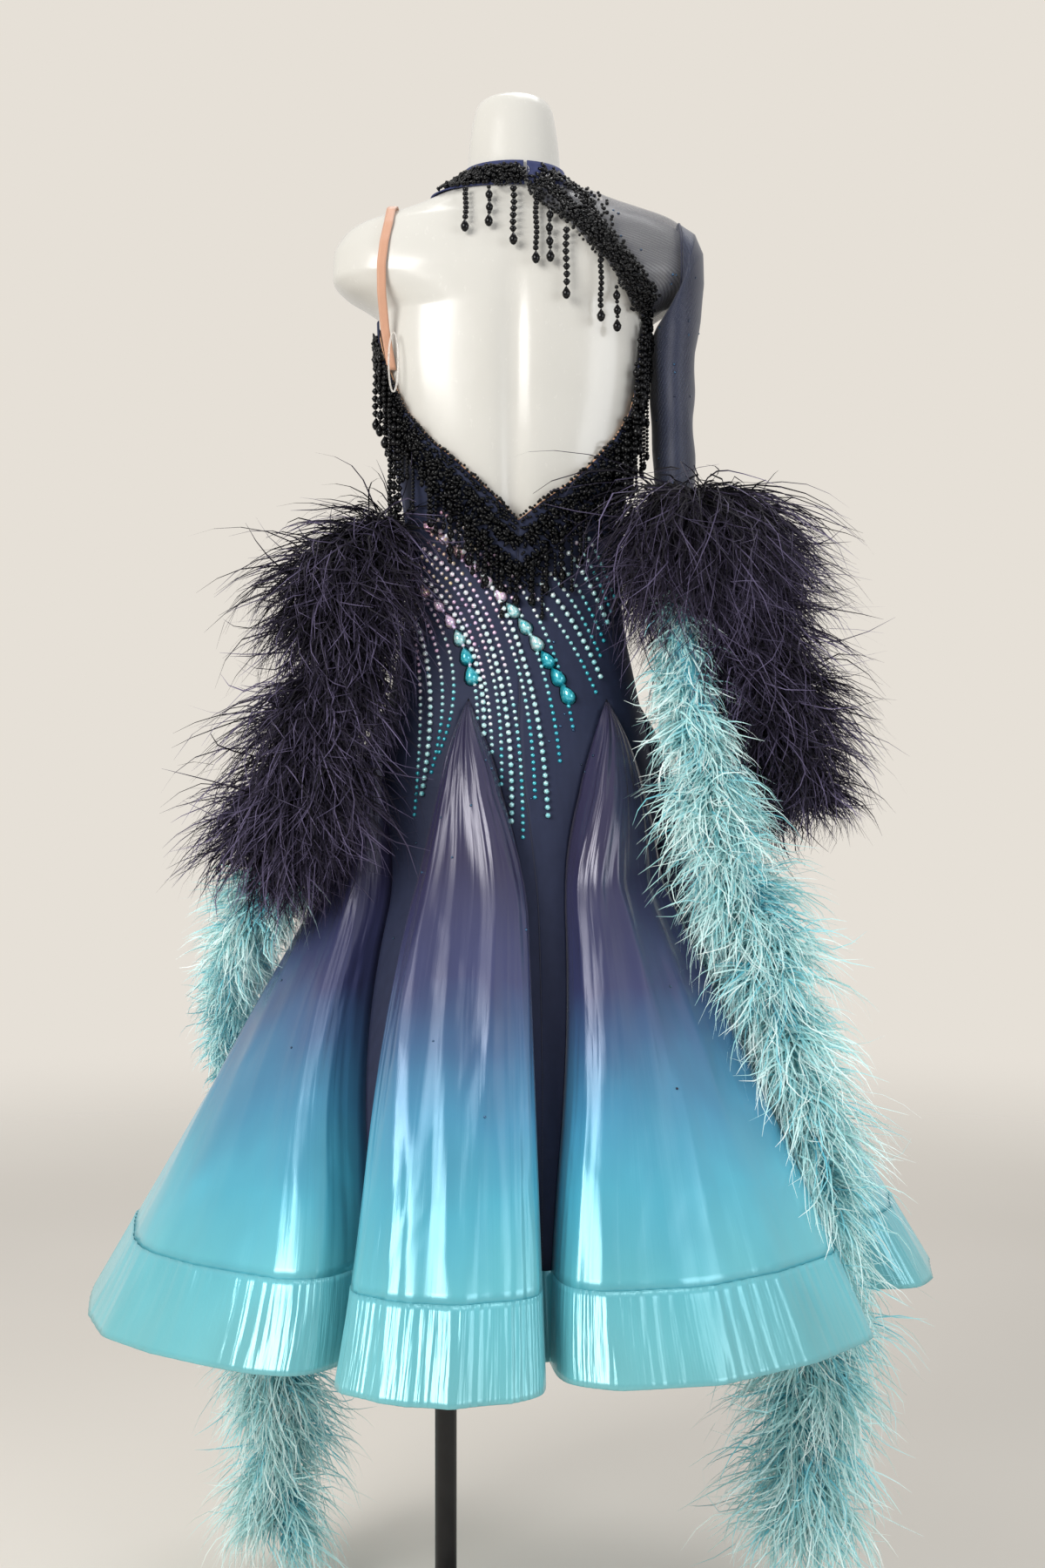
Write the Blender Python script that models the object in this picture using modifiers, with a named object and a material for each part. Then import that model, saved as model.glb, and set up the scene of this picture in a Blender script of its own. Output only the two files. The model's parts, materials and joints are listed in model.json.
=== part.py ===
"""Ballroom gown with godet skirt and feather boas, standing on a limbless dress form.

Metres, +Z up. The origin is the middle of the stand's base, on the floor. The gown's back faces -Y,
and its one sleeve is on the +X side. Angles run from -Y (the centre back) towards +X.
"""

import math

import bmesh
import bpy
from mathutils import Vector
from mathutils.bvhtree import BVHTree

# ---- Driving sizes -------------------------------------------------------------------------------
SEAM = 0.0003  # room left between two pieces that are sewn or rest together
SLOPED_SEAM = 0.0010  # the same, where the cloth slopes and its inner side reaches further
CREPE = 0.0015  # thickness of the body cloth
SATIN = 0.0012  # thickness of the godet cloth
MESH_CLOTH = 0.0010  # thickness of the sheer yoke and sleeve
CRINOLINE = 0.0020  # thickness of the stiffened hem band
EASE = 0.0050  # from the form's surface to the outside of the cloth

APEX_Z = 1.125  # top of every godet
BAND_Z = 0.552  # seam between the skirt and its hem band
HEM_Z = 0.475  # lower edge of the gown
FLARE_Z = 1.05  # height where the strips between the godets leave the body
FLARE_RADIUS = 0.10  # radius from which that flare starts
HIP_Z = 0.88  # below this height the body cloth keeps the hips' width inside the flare
VALLEY = 0.36  # usual radius of a valley between two godets at the hem
APEX_DROP = 0.006  # a godet's cloth starts this much below the top of its slit

CENTRE_BACK = 4.0  # angle of the back seam above the godets
SEAM_IN_STRIP = 0.3  # share of its strip at which that seam runs below them
NECKLINE_Z = 1.555  # top of the front, and of the back under the sleeve
ARMHOLE_X = 0.187  # where the sleeve meets the yoke

BASE_RADIUS, BASE_THICK = 0.21, 0.010
POLE_X, POLE_RADIUS = -0.078, 0.0125
SHAFT_SIDES = 20

# Form: height, half width, depth behind, depth in front, squareness of the section
FORM = [
    (0.800, 0.120, 0.075, 0.068, 2.2),
    (0.806, 0.150, 0.095, 0.085, 2.2),
    (0.880, 0.158, 0.110, 0.090, 2.2),
    (0.970, 0.160, 0.120, 0.095, 2.2),
    (1.060, 0.152, 0.112, 0.098, 2.2),
    (1.140, 0.135, 0.088, 0.094, 2.3),
    (1.230, 0.119, 0.072, 0.086, 2.3),
    (1.280, 0.117, 0.068, 0.083, 2.4),
    (1.345, 0.122, 0.078, 0.092, 2.4),
    (1.410, 0.136, 0.088, 0.108, 2.4),
    (1.500, 0.150, 0.095, 0.122, 2.4),
    (1.560, 0.152, 0.097, 0.105, 2.4),
    (1.575, 0.170, 0.096, 0.098, 2.5),
    (1.590, 0.195, 0.095, 0.090, 2.6),
    (1.605, 0.208, 0.094, 0.085, 2.8),
    (1.630, 0.206, 0.089, 0.074, 2.8),
    (1.650, 0.197, 0.082, 0.062, 2.6),
    (1.664, 0.182, 0.076, 0.058, 2.5),
    (1.675, 0.155, 0.070, 0.055, 2.3),
    (1.686, 0.122, 0.066, 0.053, 2.2),
    (1.699, 0.092, 0.062, 0.052, 2.0),
    (1.712, 0.068, 0.058, 0.052, 2.0),
    (1.730, 0.054, 0.055, 0.053, 2.0),
    (1.760, 0.051, 0.051, 0.050, 2.0),
    (1.799, 0.045, 0.046, 0.046, 2.0),
    (1.812, 0.034, 0.035, 0.035, 2.0),
    (1.816, 0.015, 0.015, 0.015, 2.0),
]
FORM_SIDES = 24

# Godets: name, angle of the apex, its two edges a fifth of the way down, its two edges at the band
# seam, radius of the crest at the hem, radius of the valley after it at the hem
GODETS = [
    ("a", -80.0, -97.0, -62.0, -92.0, -23.5, 0.478, VALLEY),
    ("b", -28.0, -36.0, 5.0, -22.0, 4.5, 0.490, VALLEY),
    ("c", 54.7, 23.0, 62.0, 5.6, 60.0, 0.465, 0.29),
    ("d", 95.0, 80.0, 110.0, 76.0, 116.0, 0.480, VALLEY),
    ("e", 132.0, 122.0, 142.0, 120.0, 158.0, 0.475, VALLEY),
    ("f", 172.0, 160.0, 184.0, 161.0, 201.0, 0.475, VALLEY),
    ("g", 212.0, 200.0, 224.0, 205.0, 226.0, 0.475, 0.29),
    ("h", 248.0, 238.0, 256.0, 238.0, 265.0, 0.475, VALLEY),
]
UPPER_EDGE_AT = 0.22  # the share of the way down at which the table's first pair of edges holds
GODET_COLUMNS = 10
GODET_ROWS = (0.0, 0.05, 0.12, 0.22, 0.35, 0.5, 0.66, 0.83, 1.0)
FOLD_STEEPNESS = 0.93  # how nearly radial a godet's sides are
FOLD_FULLNESS = 0.52  # under 1 gives a full round crest
FOLD_GROWTH = 0.78  # how soon a godet stands out below its apex
FOLD_LIMIT = 1.15  # share of the way down at which it stops standing out further

# Top edge of the body, from the left side seam round the back and the front: angle, height
TOP_EDGE = [
    (-90.0, 1.555), (-86.0, 1.550), (-80.0, 1.535), (-69.0, 1.488), (-62.5, 1.447), (-50.0, 1.410),
    (-29.0, 1.371), (-8.0, 1.338), (4.0, 1.322), (10.0, 1.328), (20.0, 1.340), (38.0, 1.362),
    (48.0, 1.381), (60.6, 1.415), (68.0, 1.445), (71.0, 1.483), (72.5, NECKLINE_Z), (280.0, NECKLINE_Z),
]
BODY_ROWS = 9  # rows of cloth between the godets' tops and the top edge
# Columns of cloth in each strip of a panel
STRIP_COLUMNS = {"body_back_left": (5, 4), "body_back_right": (6, 6), "body_front": (3, 3, 3, 3, 3)}

# Open edge of the yoke at the back, and mirrored at the front: height, angle
YOKE_EDGE = [
    (1.5553, 70.5), (1.571, 60.0), (1.584, 54.5), (1.605, 49.0), (1.625, 43.0), (1.649, 37.0),
    (1.668, 28.0), (1.683, 20.0), (1.6955, 14.0),
]
YOKE_COLUMNS = 12
YOKE_EASE = 0.0065  # from the form to the outside of the yoke, over its rounder shoulder
ARM_MIDDLE_Z = 1.626
OUTLINE_STEPS = 60  # heights at which the armhole's edge is found

# Sleeve below the armhole: x and z under the arm, x and z over it, half width front to back
SLEEVE = [
    (0.1895, 1.5715, 0.2060, 1.6560, 0.076),
    (0.1820, 1.5620, 0.2165, 1.6330, 0.074),
    (0.1725, 1.5500, 0.2180, 1.6000, 0.066),
    (0.1640, 1.5360, 0.2140, 1.5600, 0.058),
    (0.1590, 1.5120, 0.2080, 1.5220, 0.052),
    (0.1585, 1.4500, 0.2060, 1.4500, 0.047),
    (0.1610, 1.3800, 0.2080, 1.3800, 0.042),
    (0.1640, 1.3200, 0.2070, 1.3200, 0.038),
]
SLEEVE_SIDES = 14

# ---- Hem band ----------------------------------------------------------------------------------
BAND_DROP = (0.0, 0.5, 1.0)
BAND_SIDE_COLUMNS = 2  # columns of the band on the half strip at each side of its godet

# ---- Collar and strap --------------------------------------------------------------------------
COLLAR_BOTTOM, COLLAR_TOP = 1.698, 1.727
COLLAR_ROWS, COLLAR_COLUMNS = 3, 26
COLLAR_GAP = 11.0, 15.0  # angles of the collar's two ends beside the back opening
COLLAR_EASE = 0.0027  # the collar lies closer to the form than the body does

STRAP_WIDTH, STRAP_THICK = 0.010, 0.0012
# Strap over the bare shoulder: x, y, z of its middle line
STRAP = [
    (-0.136, -0.0560, 1.4930), (-0.143, -0.0665, 1.535), (-0.146, -0.0800, 1.575), (-0.146, -0.0840, 1.605),
    (-0.143, -0.0790, 1.632), (-0.139, -0.0700, 1.655), (-0.137, -0.0534, 1.6732), (-0.136, -0.0300, 1.6821),
    (-0.136, -0.0050, 1.6845), (-0.136, 0.0260, 1.6824), (-0.137, 0.0475, 1.6673), (-0.139, 0.0560, 1.6480),
    (-0.143, 0.0700, 1.6200), (-0.143, 0.0800, 1.5900), (-0.140, 0.0860, 1.5620),
]

# ---- Beaded trims and fringe -------------------------------------------------------------------
TRIM_THICK = 0.0030  # plain thickness of a beaded trim
# From the cloth's outside to each trim's inner side, where the cloth curves between the trim's rows
TRIM_LIFT = {
    "trim_collar_left": 0.0008, "trim_diagonal": 0.0049,
    "trim_back_right": 0.0027, "trim_back_left": 0.0027,
}
OUTSIDE = 0.6  # radius well outside the gown, from which the cloth is looked for
NEAR_CLOTH = 0.012  # how far from its place over the form the cloth can lie
TRIM_BUMPS = (0.0, 0.0022, 0.0008, 0.0030)  # what its bead clusters add, in turn
TRIM_ACROSS = 3
STRAND_BEAD, STRAND_NECK = 0.0036, 0.0022  # half widths of a fringe strand at a bead and between beads
STRAND_OFF = 0.0100  # middle of a strand, outside the form
BEAD_STEP = 0.013

# Trims: name, then rows of angle and height of the open edge and of the inner edge of the beading
TRIMS = {
    "trim_collar_left": [
        (-74, 1.7000, -70, 1.7200), (-60, 1.7000, -58, 1.7210), (-46, 1.7000, -46, 1.7215),
        (-34, 1.7000, -34, 1.7220), (-22, 1.7000, -22, 1.7220), (-12, 1.6990, -12, 1.7220),
        (-2, 1.6990, -2, 1.7220), (9, 1.6980, 9, 1.7210),
    ],
    "trim_diagonal": [
        (17, 1.6900, 62, 1.7080), (24, 1.6770, 60, 1.6900), (31, 1.6630, 52, 1.6800),
        (38, 1.6470, 52, 1.6640), (43, 1.6260, 56, 1.6440), (48, 1.6080, 61, 1.6240),
        (54, 1.5870, 66, 1.6010), (60, 1.5720, 70, 1.5830), (68, 1.5580, 78, 1.5700),
    ],
    "trim_back_right": [
        (73.5, 1.5520, 82, 1.5500), (72.5, 1.5150, 81, 1.5100), (71.5, 1.4800, 81, 1.4700),
        (68.5, 1.4430, 80, 1.4300), (61.0, 1.4130, 76, 1.3900), (48.5, 1.3790, 62, 1.3480),
        (38.5, 1.3600, 48, 1.3240), (29.0, 1.3480, 36, 1.3040), (20.0, 1.3380, 24, 1.2820),
        (12.0, 1.3280, 13, 1.2640), (5.2, 1.3210, 5.2, 1.2500),
    ],
    "trim_back_left": [
        (3.0, 1.3200, 3.0, 1.2500), (-8.0, 1.3350, -10, 1.2700), (-19, 1.3510, -24, 1.2900),
        (-30, 1.3700, -36, 1.3200), (-40, 1.3880, -46, 1.3450), (-50, 1.4070, -57, 1.3680),
        (-56.5, 1.4250, -66, 1.3950), (-62.5, 1.4440, -74, 1.4250), (-66, 1.4650, -78, 1.4550),
        (-69.5, 1.4870, -82, 1.4850), (-76, 1.5160, -86, 1.5080), (-83, 1.5400, -91, 1.5300),
    ],
}

# Fringe strands: trim, x at the top, height of the top and of the end
STRANDS = [
    ("trim_collar_left", -0.053, 1.695, 1.650),
    ("trim_collar_left", -0.027, 1.695, 1.654),
    ("trim_collar_left", 0.000, 1.695, 1.628),
    ("trim_diagonal", 0.025, 1.688, 1.609),
    ("trim_diagonal", 0.040, 1.669, 1.610),
    ("trim_diagonal", 0.058, 1.643, 1.575),
    ("trim_diagonal", 0.096, 1.613, 1.548),
    ("trim_diagonal", 0.114, 1.579, 1.532),
    ("trim_back_right", 0.142, 1.530, 1.458),
    ("trim_back_right", 0.141, 1.480, 1.411),
    ("trim_back_right", 0.131, 1.433, 1.362),
    ("trim_back_right", 0.116, 1.405, 1.325),
    ("trim_back_left", -0.138, 1.475, 1.306),
    ("trim_back_left", -0.150, 1.520, 1.426),
]

# ---- Feather boas -------------------------------------------------------------------------------
CORE = 0.016  # radius of a boa's twisted core
CORE_SIDES = 6
LOCK_BASE, LOCK_TIP = 0.62, 0.0012  # a lock's width half way, as a share of its root, and its tip
FLOOR_ROOM = 0.006

# Boas: finish, spacing of the rings, locks' length at the top and the end, droop, the way that the
# locks face at the top and at the end, points of the core
BOAS = {
    "boa_navy_left": ("navy_feather", 0.040, 0.085, 0.110, 0.55, (-1, -0.25), (-1, -0.4), [
        (-0.1256, -0.020, 1.315), (-0.148, -0.021, 1.319), (-0.200, -0.048, 1.295), (-0.212, -0.060, 1.210),
        (-0.222, -0.070, 1.110), (-0.248, -0.083, 1.020), (-0.264, -0.085, 0.970), (-0.266, -0.085, 0.950)]),
    "boa_turquoise_left": ("turquoise_feather", 0.062, 0.050, 0.070, 0.85, (-1, -0.3), (-0.6, 0.8), [
        (-0.2660, -0.0850, 0.9497), (-0.270, -0.082, 0.925), (-0.325, 0.010, 0.830), (-0.362, 0.100, 0.740),
        (-0.368, 0.180, 0.640), (-0.343, 0.238, 0.570), (-0.318, 0.256, 0.500), (-0.310, 0.256, 0.420),
        (-0.300, 0.252, 0.260), (-0.295, 0.250, 0.085)]),
    "boa_navy_right": ("navy_feather", 0.042, 0.085, 0.060, 0.60, (1, 0.25), (1, 0.2), [
        (0.2260, -0.010, 1.3305), (0.2265, -0.011, 1.310), (0.245, -0.030, 1.240), (0.268, -0.045, 1.160),
        (0.295, -0.050, 1.080), (0.315, -0.050, 1.020)]),
    "boa_turquoise_right": ("turquoise_feather", 0.060, 0.050, 0.070, 0.85, (0.1, -1), (1.0, 0.15), [
        (0.2055, -0.0495, 1.3305), (0.2053, -0.0500, 1.310), (0.203, -0.080, 1.230), (0.214, -0.115, 1.120),
        (0.238, -0.125, 1.000), (0.258, -0.130, 0.900), (0.292, -0.142, 0.760), (0.318, -0.142, 0.620),
        (0.326, -0.142, 0.500), (0.318, -0.142, 0.360), (0.312, -0.142, 0.245)]),
}
CUFF_CENTRE = Vector((0.1855, 0.0, 1.345))
CUFF_HALF_X, CUFF_HALF_Y = 0.0385, 0.0570  # the cuff boa's core, about the sleeve's end
CUFF_REACH = 118.0  # degrees to each side of the arm's outer side
CUFF_LOCK, CUFF_DROOP = 0.080, 0.35
LOCK_SPREAD = 0.35  # least cosine between a lock's face and the way that its boa's locks face

# ---- Materials: colour, roughness, metallic -------------------------------------------------------
FINISHES = {
    "form_gloss": ((0.88, 0.86, 0.81), 0.18, 0.0),
    "stand_black": ((0.02, 0.02, 0.02), 0.35, 0.6),
    "navy_crepe": ((0.045, 0.055, 0.13), 0.55, 0.0),
    "navy_mesh": ((0.05, 0.07, 0.17), 0.60, 0.0),
    "ombre_satin": ((0.16, 0.42, 0.62), 0.28, 0.0),
    "turquoise_band": ((0.22, 0.62, 0.72), 0.30, 0.0),
    "nude_strap": ((0.78, 0.47, 0.30), 0.40, 0.0),
    "jet_beads": ((0.01, 0.01, 0.012), 0.15, 0.0),
    "navy_feather": ((0.05, 0.035, 0.08), 0.85, 0.0),
    "turquoise_feather": ((0.36, 0.72, 0.76), 0.85, 0.0),
}


def clear_scene():
    for old in list(bpy.data.objects):
        bpy.data.objects.remove(old, do_unlink=True)


def make_material(name):
    colour, roughness, metallic = FINISHES[name]
    material = bpy.data.materials.get(name) or bpy.data.materials.new(name)
    material.use_nodes = True
    shader = material.node_tree.nodes["Principled BSDF"]
    shader.inputs["Base Color"].default_value = (*colour, 1.0)
    shader.inputs["Roughness"].default_value = roughness
    shader.inputs["Metallic"].default_value = metallic
    return material


def finish(name, mesh, material, smooth=True):
    """One named piece with its own material, in the gown's collection."""
    obj = bpy.data.objects.new(name, mesh)
    mesh.materials.append(make_material(material))
    if smooth:
        mesh.shade_smooth()
    bpy.data.collections["ballroom_gown"].objects.link(obj)
    return obj


def add_wall(obj, thick):
    """Cloth thickness, put on the inner side of the surface."""
    wall = obj.modifiers.new("wall", "SOLIDIFY")
    wall.thickness = thick
    wall.offset = -1.0
    return obj


# ---- Curves and sections --------------------------------------------------------------------------
def between(table, key, column=1):
    """Straight interpolation in a table that is sorted by its first column."""
    if key <= table[0][0]:
        return table[0][column]
    for low, high in zip(table, table[1:]):
        if key <= high[0]:
            share = (key - low[0]) / (high[0] - low[0])
            return low[column] + share * (high[column] - low[column])
    return table[-1][column]


def form_radius(angle, height, extra=0.0):
    """Distance from the axis to the form, plus extra, in the direction of an angle."""
    half, behind, front, square = (between(FORM, height, column) for column in (1, 2, 3, 4))
    side, back = math.sin(math.radians(angle)), math.cos(math.radians(angle))
    depth = behind if back > 0 else front
    total = (abs(side) / (half + extra)) ** square + (abs(back) / (depth + extra)) ** square
    return total ** (-1.0 / square)


def polar(angle, radius, height):
    turn = math.radians(angle)
    return Vector((radius * math.sin(turn), -radius * math.cos(turn), height))


def smooth_max(one, other, blend=0.012):
    gap = max(blend - abs(one - other), 0.0) / blend
    return max(one, other) + gap * gap * blend * 0.25


def strip_radius(angle, height, valley, extra=0.0):
    """The body down to the hips, and below them the flare of the strips between the godets."""
    flare = FLARE_RADIUS + (valley - FLARE_RADIUS) * (FLARE_Z - height) / (FLARE_Z - HEM_Z)
    body = form_radius(angle, max(height, HIP_Z), EASE)
    return smooth_max(body, flare) + extra


def share_down(height):
    return (APEX_Z - height) / (APEX_Z - BAND_Z)


def godet_edges(godet, share):
    """The two angles between which a godet lies at a share of the way down, and on into the band."""
    _, apex, high_start, high_end, low_start, low_end, _, _ = godet
    if share <= 0:
        return apex, apex
    if share < UPPER_EDGE_AT:
        part = share / UPPER_EDGE_AT
        return apex + part * (high_start - apex), apex + part * (high_end - apex)
    part = min((share - UPPER_EDGE_AT) / (1 - UPPER_EDGE_AT), 1.0)
    return high_start + part * (low_start - high_start), high_end + part * (low_end - high_end)


def godet_point(index, share, across, height):
    """A point of a godet's outer side: across runs from 0 to 1 between its edges."""
    godet = GODETS[index]
    start, end = godet_edges(godet, share)
    crest, valley_after, valley_before = godet[6], godet[7], GODETS[index - 1][7]
    turn = 2 * math.pi
    angle = start + (end - start) * (across - FOLD_STEEPNESS * math.sin(turn * across) / turn)
    before = strip_radius(start, height, valley_before)
    after = strip_radius(end, height, valley_after)
    low = before + (after - before) * across
    depth = (crest - VALLEY) * min(share, FOLD_LIMIT) ** FOLD_GROWTH
    lobe = max(math.sin(math.pi * across), 0.0) ** FOLD_FULLNESS
    high = max(before, after) + depth
    return polar(angle, low + (high - low) * lobe, height)


def thicken_radially(work, thick):
    """Closes a surface into a wall whose inner side lies nearer the axis, so that its seams stay true."""
    outer = work.faces[:]
    made = bmesh.ops.extrude_face_region(work, geom=outer)
    for vert in (item for item in made["geom"] if isinstance(item, bmesh.types.BMVert)):
        inward = Vector((vert.co.x, vert.co.y, 0.0)).normalized()
        vert.co -= inward * thick
    bmesh.ops.recalc_face_normals(work, faces=work.faces[:])


def surface(rows):
    """A mesh from rows of points, each row as long as the others."""
    mesh = bmesh.new()
    lines = [[mesh.verts.new(point) for point in row] for row in rows]
    for upper, lower in zip(lines, lines[1:]):
        for i in range(len(upper) - 1):
            mesh.faces.new((upper[i], lower[i], lower[i + 1], upper[i + 1]))
    return mesh


def to_mesh(work, name, merge=1e-6):
    bmesh.ops.remove_doubles(work, verts=work.verts[:], dist=merge)
    bmesh.ops.dissolve_degenerate(work, edges=work.edges[:], dist=1e-6)
    mesh = bpy.data.meshes.new(name)
    work.to_mesh(mesh)
    work.free()
    return mesh


# ---- Form and stand -------------------------------------------------------------------------------
def make_cylinder(name, radius, bottom, top, sides, x=0.0):
    work = bmesh.new()
    bmesh.ops.create_cone(
        work, cap_ends=True, segments=sides, radius1=radius, radius2=radius, depth=top - bottom
    )
    bmesh.ops.translate(work, verts=work.verts[:], vec=(x, 0, (top + bottom) / 2))
    return finish(name, to_mesh(work, name), "stand_black")


def make_form():
    work = bmesh.new()
    rings = []
    for row in FORM:
        angles = [360 * i / FORM_SIDES for i in range(FORM_SIDES)]
        rings.append([work.verts.new(polar(a, form_radius(a, row[0]), row[0])) for a in angles])
    for low, high in zip(rings, rings[1:]):
        for i in range(FORM_SIDES):
            j = (i + 1) % FORM_SIDES
            work.faces.new((low[i], low[j], high[j], high[i]))
    work.faces.new(reversed(rings[0]))
    work.faces.new(rings[-1])
    finish("form_torso", to_mesh(work, "form_torso"), "form_gloss")


# ---- Body panels ----------------------------------------------------------------------------------
def seam_angle(radius):
    return math.degrees(SEAM / radius)


def back_seam(share):
    """The centre-back seam, which runs on down the strip beside the last godet before it."""
    if share <= 0:
        return CENTRE_BACK
    start, end = godet_edges(GODETS[1], share)[1], godet_edges(GODETS[2], share)[0]
    part = min(share / UPPER_EDGE_AT, 1.0)
    return CENTRE_BACK + part * (start + SEAM_IN_STRIP * (end - start) - CENTRE_BACK)


# Strips of each body panel: the godet before and after, and which of its sides are sewn to another panel
PANELS = {
    "body_back_left": [(0, 1, True, False), (1, None, False, True)],
    "body_back_right": [(None, 2, True, False), (2, 3, False, True)],
    "body_front": [(3, 4, True, False), (4, 5, False, False), (5, 6, False, False), (6, 7, False, False),
                   (7, 0, False, True)],
}


def strip_angles(strip, share, columns, radius):
    """Angles across a strip at one height, drawn in by half a seam's room at a sewn side or a slit."""
    before, after, sewn_start, sewn_end = strip
    start = back_seam(share) if before is None else godet_edges(GODETS[before], share)[1]
    end = back_seam(share) if after is None else godet_edges(GODETS[after], share)[0]
    if end < start - 180:
        end += 360
    room = seam_angle(radius)
    if sewn_start or share > 0:
        start += room
    if sewn_end or share > 0:
        end -= room
    return [start + (end - start) * i / columns for i in range(columns + 1)]


def panel_rows(strip, columns):
    """Rows of points down one strip, from the body's top edge to the band seam."""
    valley = GODETS[1 if strip[0] is None else strip[0]][7]
    rows = []
    for k in range(BODY_ROWS):
        row = []
        for angle in strip_angles(strip, 0, columns, FLARE_RADIUS):
            top = between(TOP_EDGE, angle - 360 if angle > 280.5 else angle)
            height = top + (APEX_Z - top) * k / BODY_ROWS
            row.append(polar(angle, strip_radius(angle, height, valley), height))
        rows.append(row)
    for share in GODET_ROWS:
        height = APEX_Z + (BAND_Z - APEX_Z) * share
        angles = strip_angles(strip, share, columns, strip_radius(0, height, valley))
        rows.append([polar(a, strip_radius(a, height, valley), height) for a in angles])
    return rows


def make_body_panel(name, strips, columns):
    """One cut piece of the body, with the slits that its godets are let into."""
    work = bmesh.new()
    for strip, count in zip(strips, columns):
        part = surface(panel_rows(strip, count))
        scratch = bpy.data.meshes.new("strip")
        part.to_mesh(scratch)
        part.free()
        work.from_mesh(scratch)
        bpy.data.meshes.remove(scratch)
    bmesh.ops.remove_doubles(work, verts=work.verts[:], dist=1e-5)
    thicken_radially(work, CREPE)
    finish(name, to_mesh(work, name), "navy_crepe")


def make_body():
    for name, strips in PANELS.items():
        make_body_panel(name, strips, STRIP_COLUMNS[name])


# ---- Godets and hem band --------------------------------------------------------------------------
def make_godet(index):
    name = "godet_" + GODETS[index][0]
    rows = []
    for share in GODET_ROWS:
        height = APEX_Z + (BAND_Z - APEX_Z) * share
        if share == 0:
            share = APEX_DROP / (APEX_Z - BAND_Z)
            height = APEX_Z - APEX_DROP
        rows.append([
            godet_point(index, share, i / GODET_COLUMNS, height) for i in range(GODET_COLUMNS + 1)
        ])
    add_wall(finish(name, to_mesh(surface(rows), name), "ombre_satin"), SATIN)


def make_band(index):
    """The hem band below one godet, from the middle of one valley to the middle of the next."""
    name = "hem_band_" + GODETS[index][0]
    here, before, after = GODETS[index], GODETS[index - 1], GODETS[(index + 1) % len(GODETS)]
    start, end = here[4], here[5]
    low = (before[5] - (360 if before[5] > start + 180 else 0) + start) / 2
    high = (after[4] + (360 if after[4] < end - 180 else 0) + end) / 2
    rows = []
    for drop in BAND_DROP:
        top = BAND_Z - SLOPED_SEAM
        height = top + (HEM_Z - top) * drop
        share = share_down(height)
        inset = seam_angle(VALLEY) / 2
        shares = [i / BAND_SIDE_COLUMNS for i in range(BAND_SIDE_COLUMNS)]
        left = [low + inset + (start - low - inset) * part for part in shares]
        right = [high - inset - (high - inset - end) * part for part in reversed(shares)]
        row = [polar(a, strip_radius(a, height, before[7]), height) for a in left]
        row += [godet_point(index, share, i / GODET_COLUMNS, height) for i in range(GODET_COLUMNS + 1)]
        row += [polar(a, strip_radius(a, height, here[7]), height) for a in right]
        rows.append(row)
    add_wall(finish(name, to_mesh(surface(rows), name), "turquoise_band"), CRINOLINE)


# ---- Collar, yoke, sleeve and strap ---------------------------------------------------------------
def on_form(angle, height, off):
    """The form's surface moved out along its own normal."""
    step = 0.5, 0.002
    point = polar(angle, form_radius(angle, height), height)
    around = polar(angle + step[0], form_radius(angle + step[0], height), height)
    around -= polar(angle - step[0], form_radius(angle - step[0], height), height)
    above = polar(angle, form_radius(angle, height + step[1]), height + step[1])
    above -= polar(angle, form_radius(angle, height - step[1]), height - step[1])
    return point + around.cross(above).normalized() * off


def make_collar():
    start, end = COLLAR_GAP[1], COLLAR_GAP[0] + 360
    rows = []
    for k in range(COLLAR_ROWS + 1):
        height = COLLAR_TOP + (COLLAR_BOTTOM - COLLAR_TOP) * k / COLLAR_ROWS
        angles = [start + (end - start) * i / COLLAR_COLUMNS for i in range(COLLAR_COLUMNS + 1)]
        rows.append([on_form(a, height, COLLAR_EASE) for a in angles])
    add_wall(finish("collar", to_mesh(surface(rows), "collar"), "navy_crepe"), CREPE)


def make_yoke():
    rows = []
    for height, edge in reversed(YOKE_EDGE):
        front = 180 - edge
        angles = [edge + (front - edge) * i / YOKE_COLUMNS for i in range(YOKE_COLUMNS + 1)]
        rows.append([on_form(a, height, YOKE_EASE) for a in angles])
    work = surface(rows)
    bmesh.ops.bisect_plane(
        work, geom=work.verts[:] + work.edges[:] + work.faces[:],
        plane_co=(ARMHOLE_X, 0, 0), plane_no=(1, 0, 0), clear_outer=True,
    )
    add_wall(finish("yoke_right", to_mesh(work, "yoke_right"), "navy_mesh"), MESH_CLOTH)


def armhole_outline():
    """Points round the yoke's edge at the armhole, each with its direction about the arm's middle."""
    outline = []
    for k in range(OUTLINE_STEPS + 1):
        height = YOKE_EDGE[1][0] + (YOKE_EDGE[-2][0] - YOKE_EDGE[1][0]) * k / OUTLINE_STEPS
        if on_form(90, height, YOKE_EASE).x < ARMHOLE_X:
            continue
        for near, far in ((50.0, 90.0), (130.0, 90.0)):
            for _ in range(24):
                middle = (near + far) / 2
                outside = on_form(middle, height, YOKE_EASE).x > ARMHOLE_X
                near, far = (near, middle) if outside else (middle, far)
            point = on_form(far, height, YOKE_EASE)
            point.x = ARMHOLE_X + SLOPED_SEAM
            outline.append((math.atan2(point.y, ARM_MIDDLE_Z - point.z), point))
    outline.sort(key=lambda one: one[0])
    first, last = outline[0], outline[-1]
    return [(last[0] - 2 * math.pi, last[1]), *outline, (first[0] + 2 * math.pi, first[1])]


def armhole_point(outline, turn):
    turn = (turn + math.pi) % (2 * math.pi) - math.pi
    for low, high in zip(outline, outline[1:]):
        if turn <= high[0]:
            return low[1].lerp(high[1], (turn - low[0]) / max(high[0] - low[0], 1e-9))
    return outline[-1][1]


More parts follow.
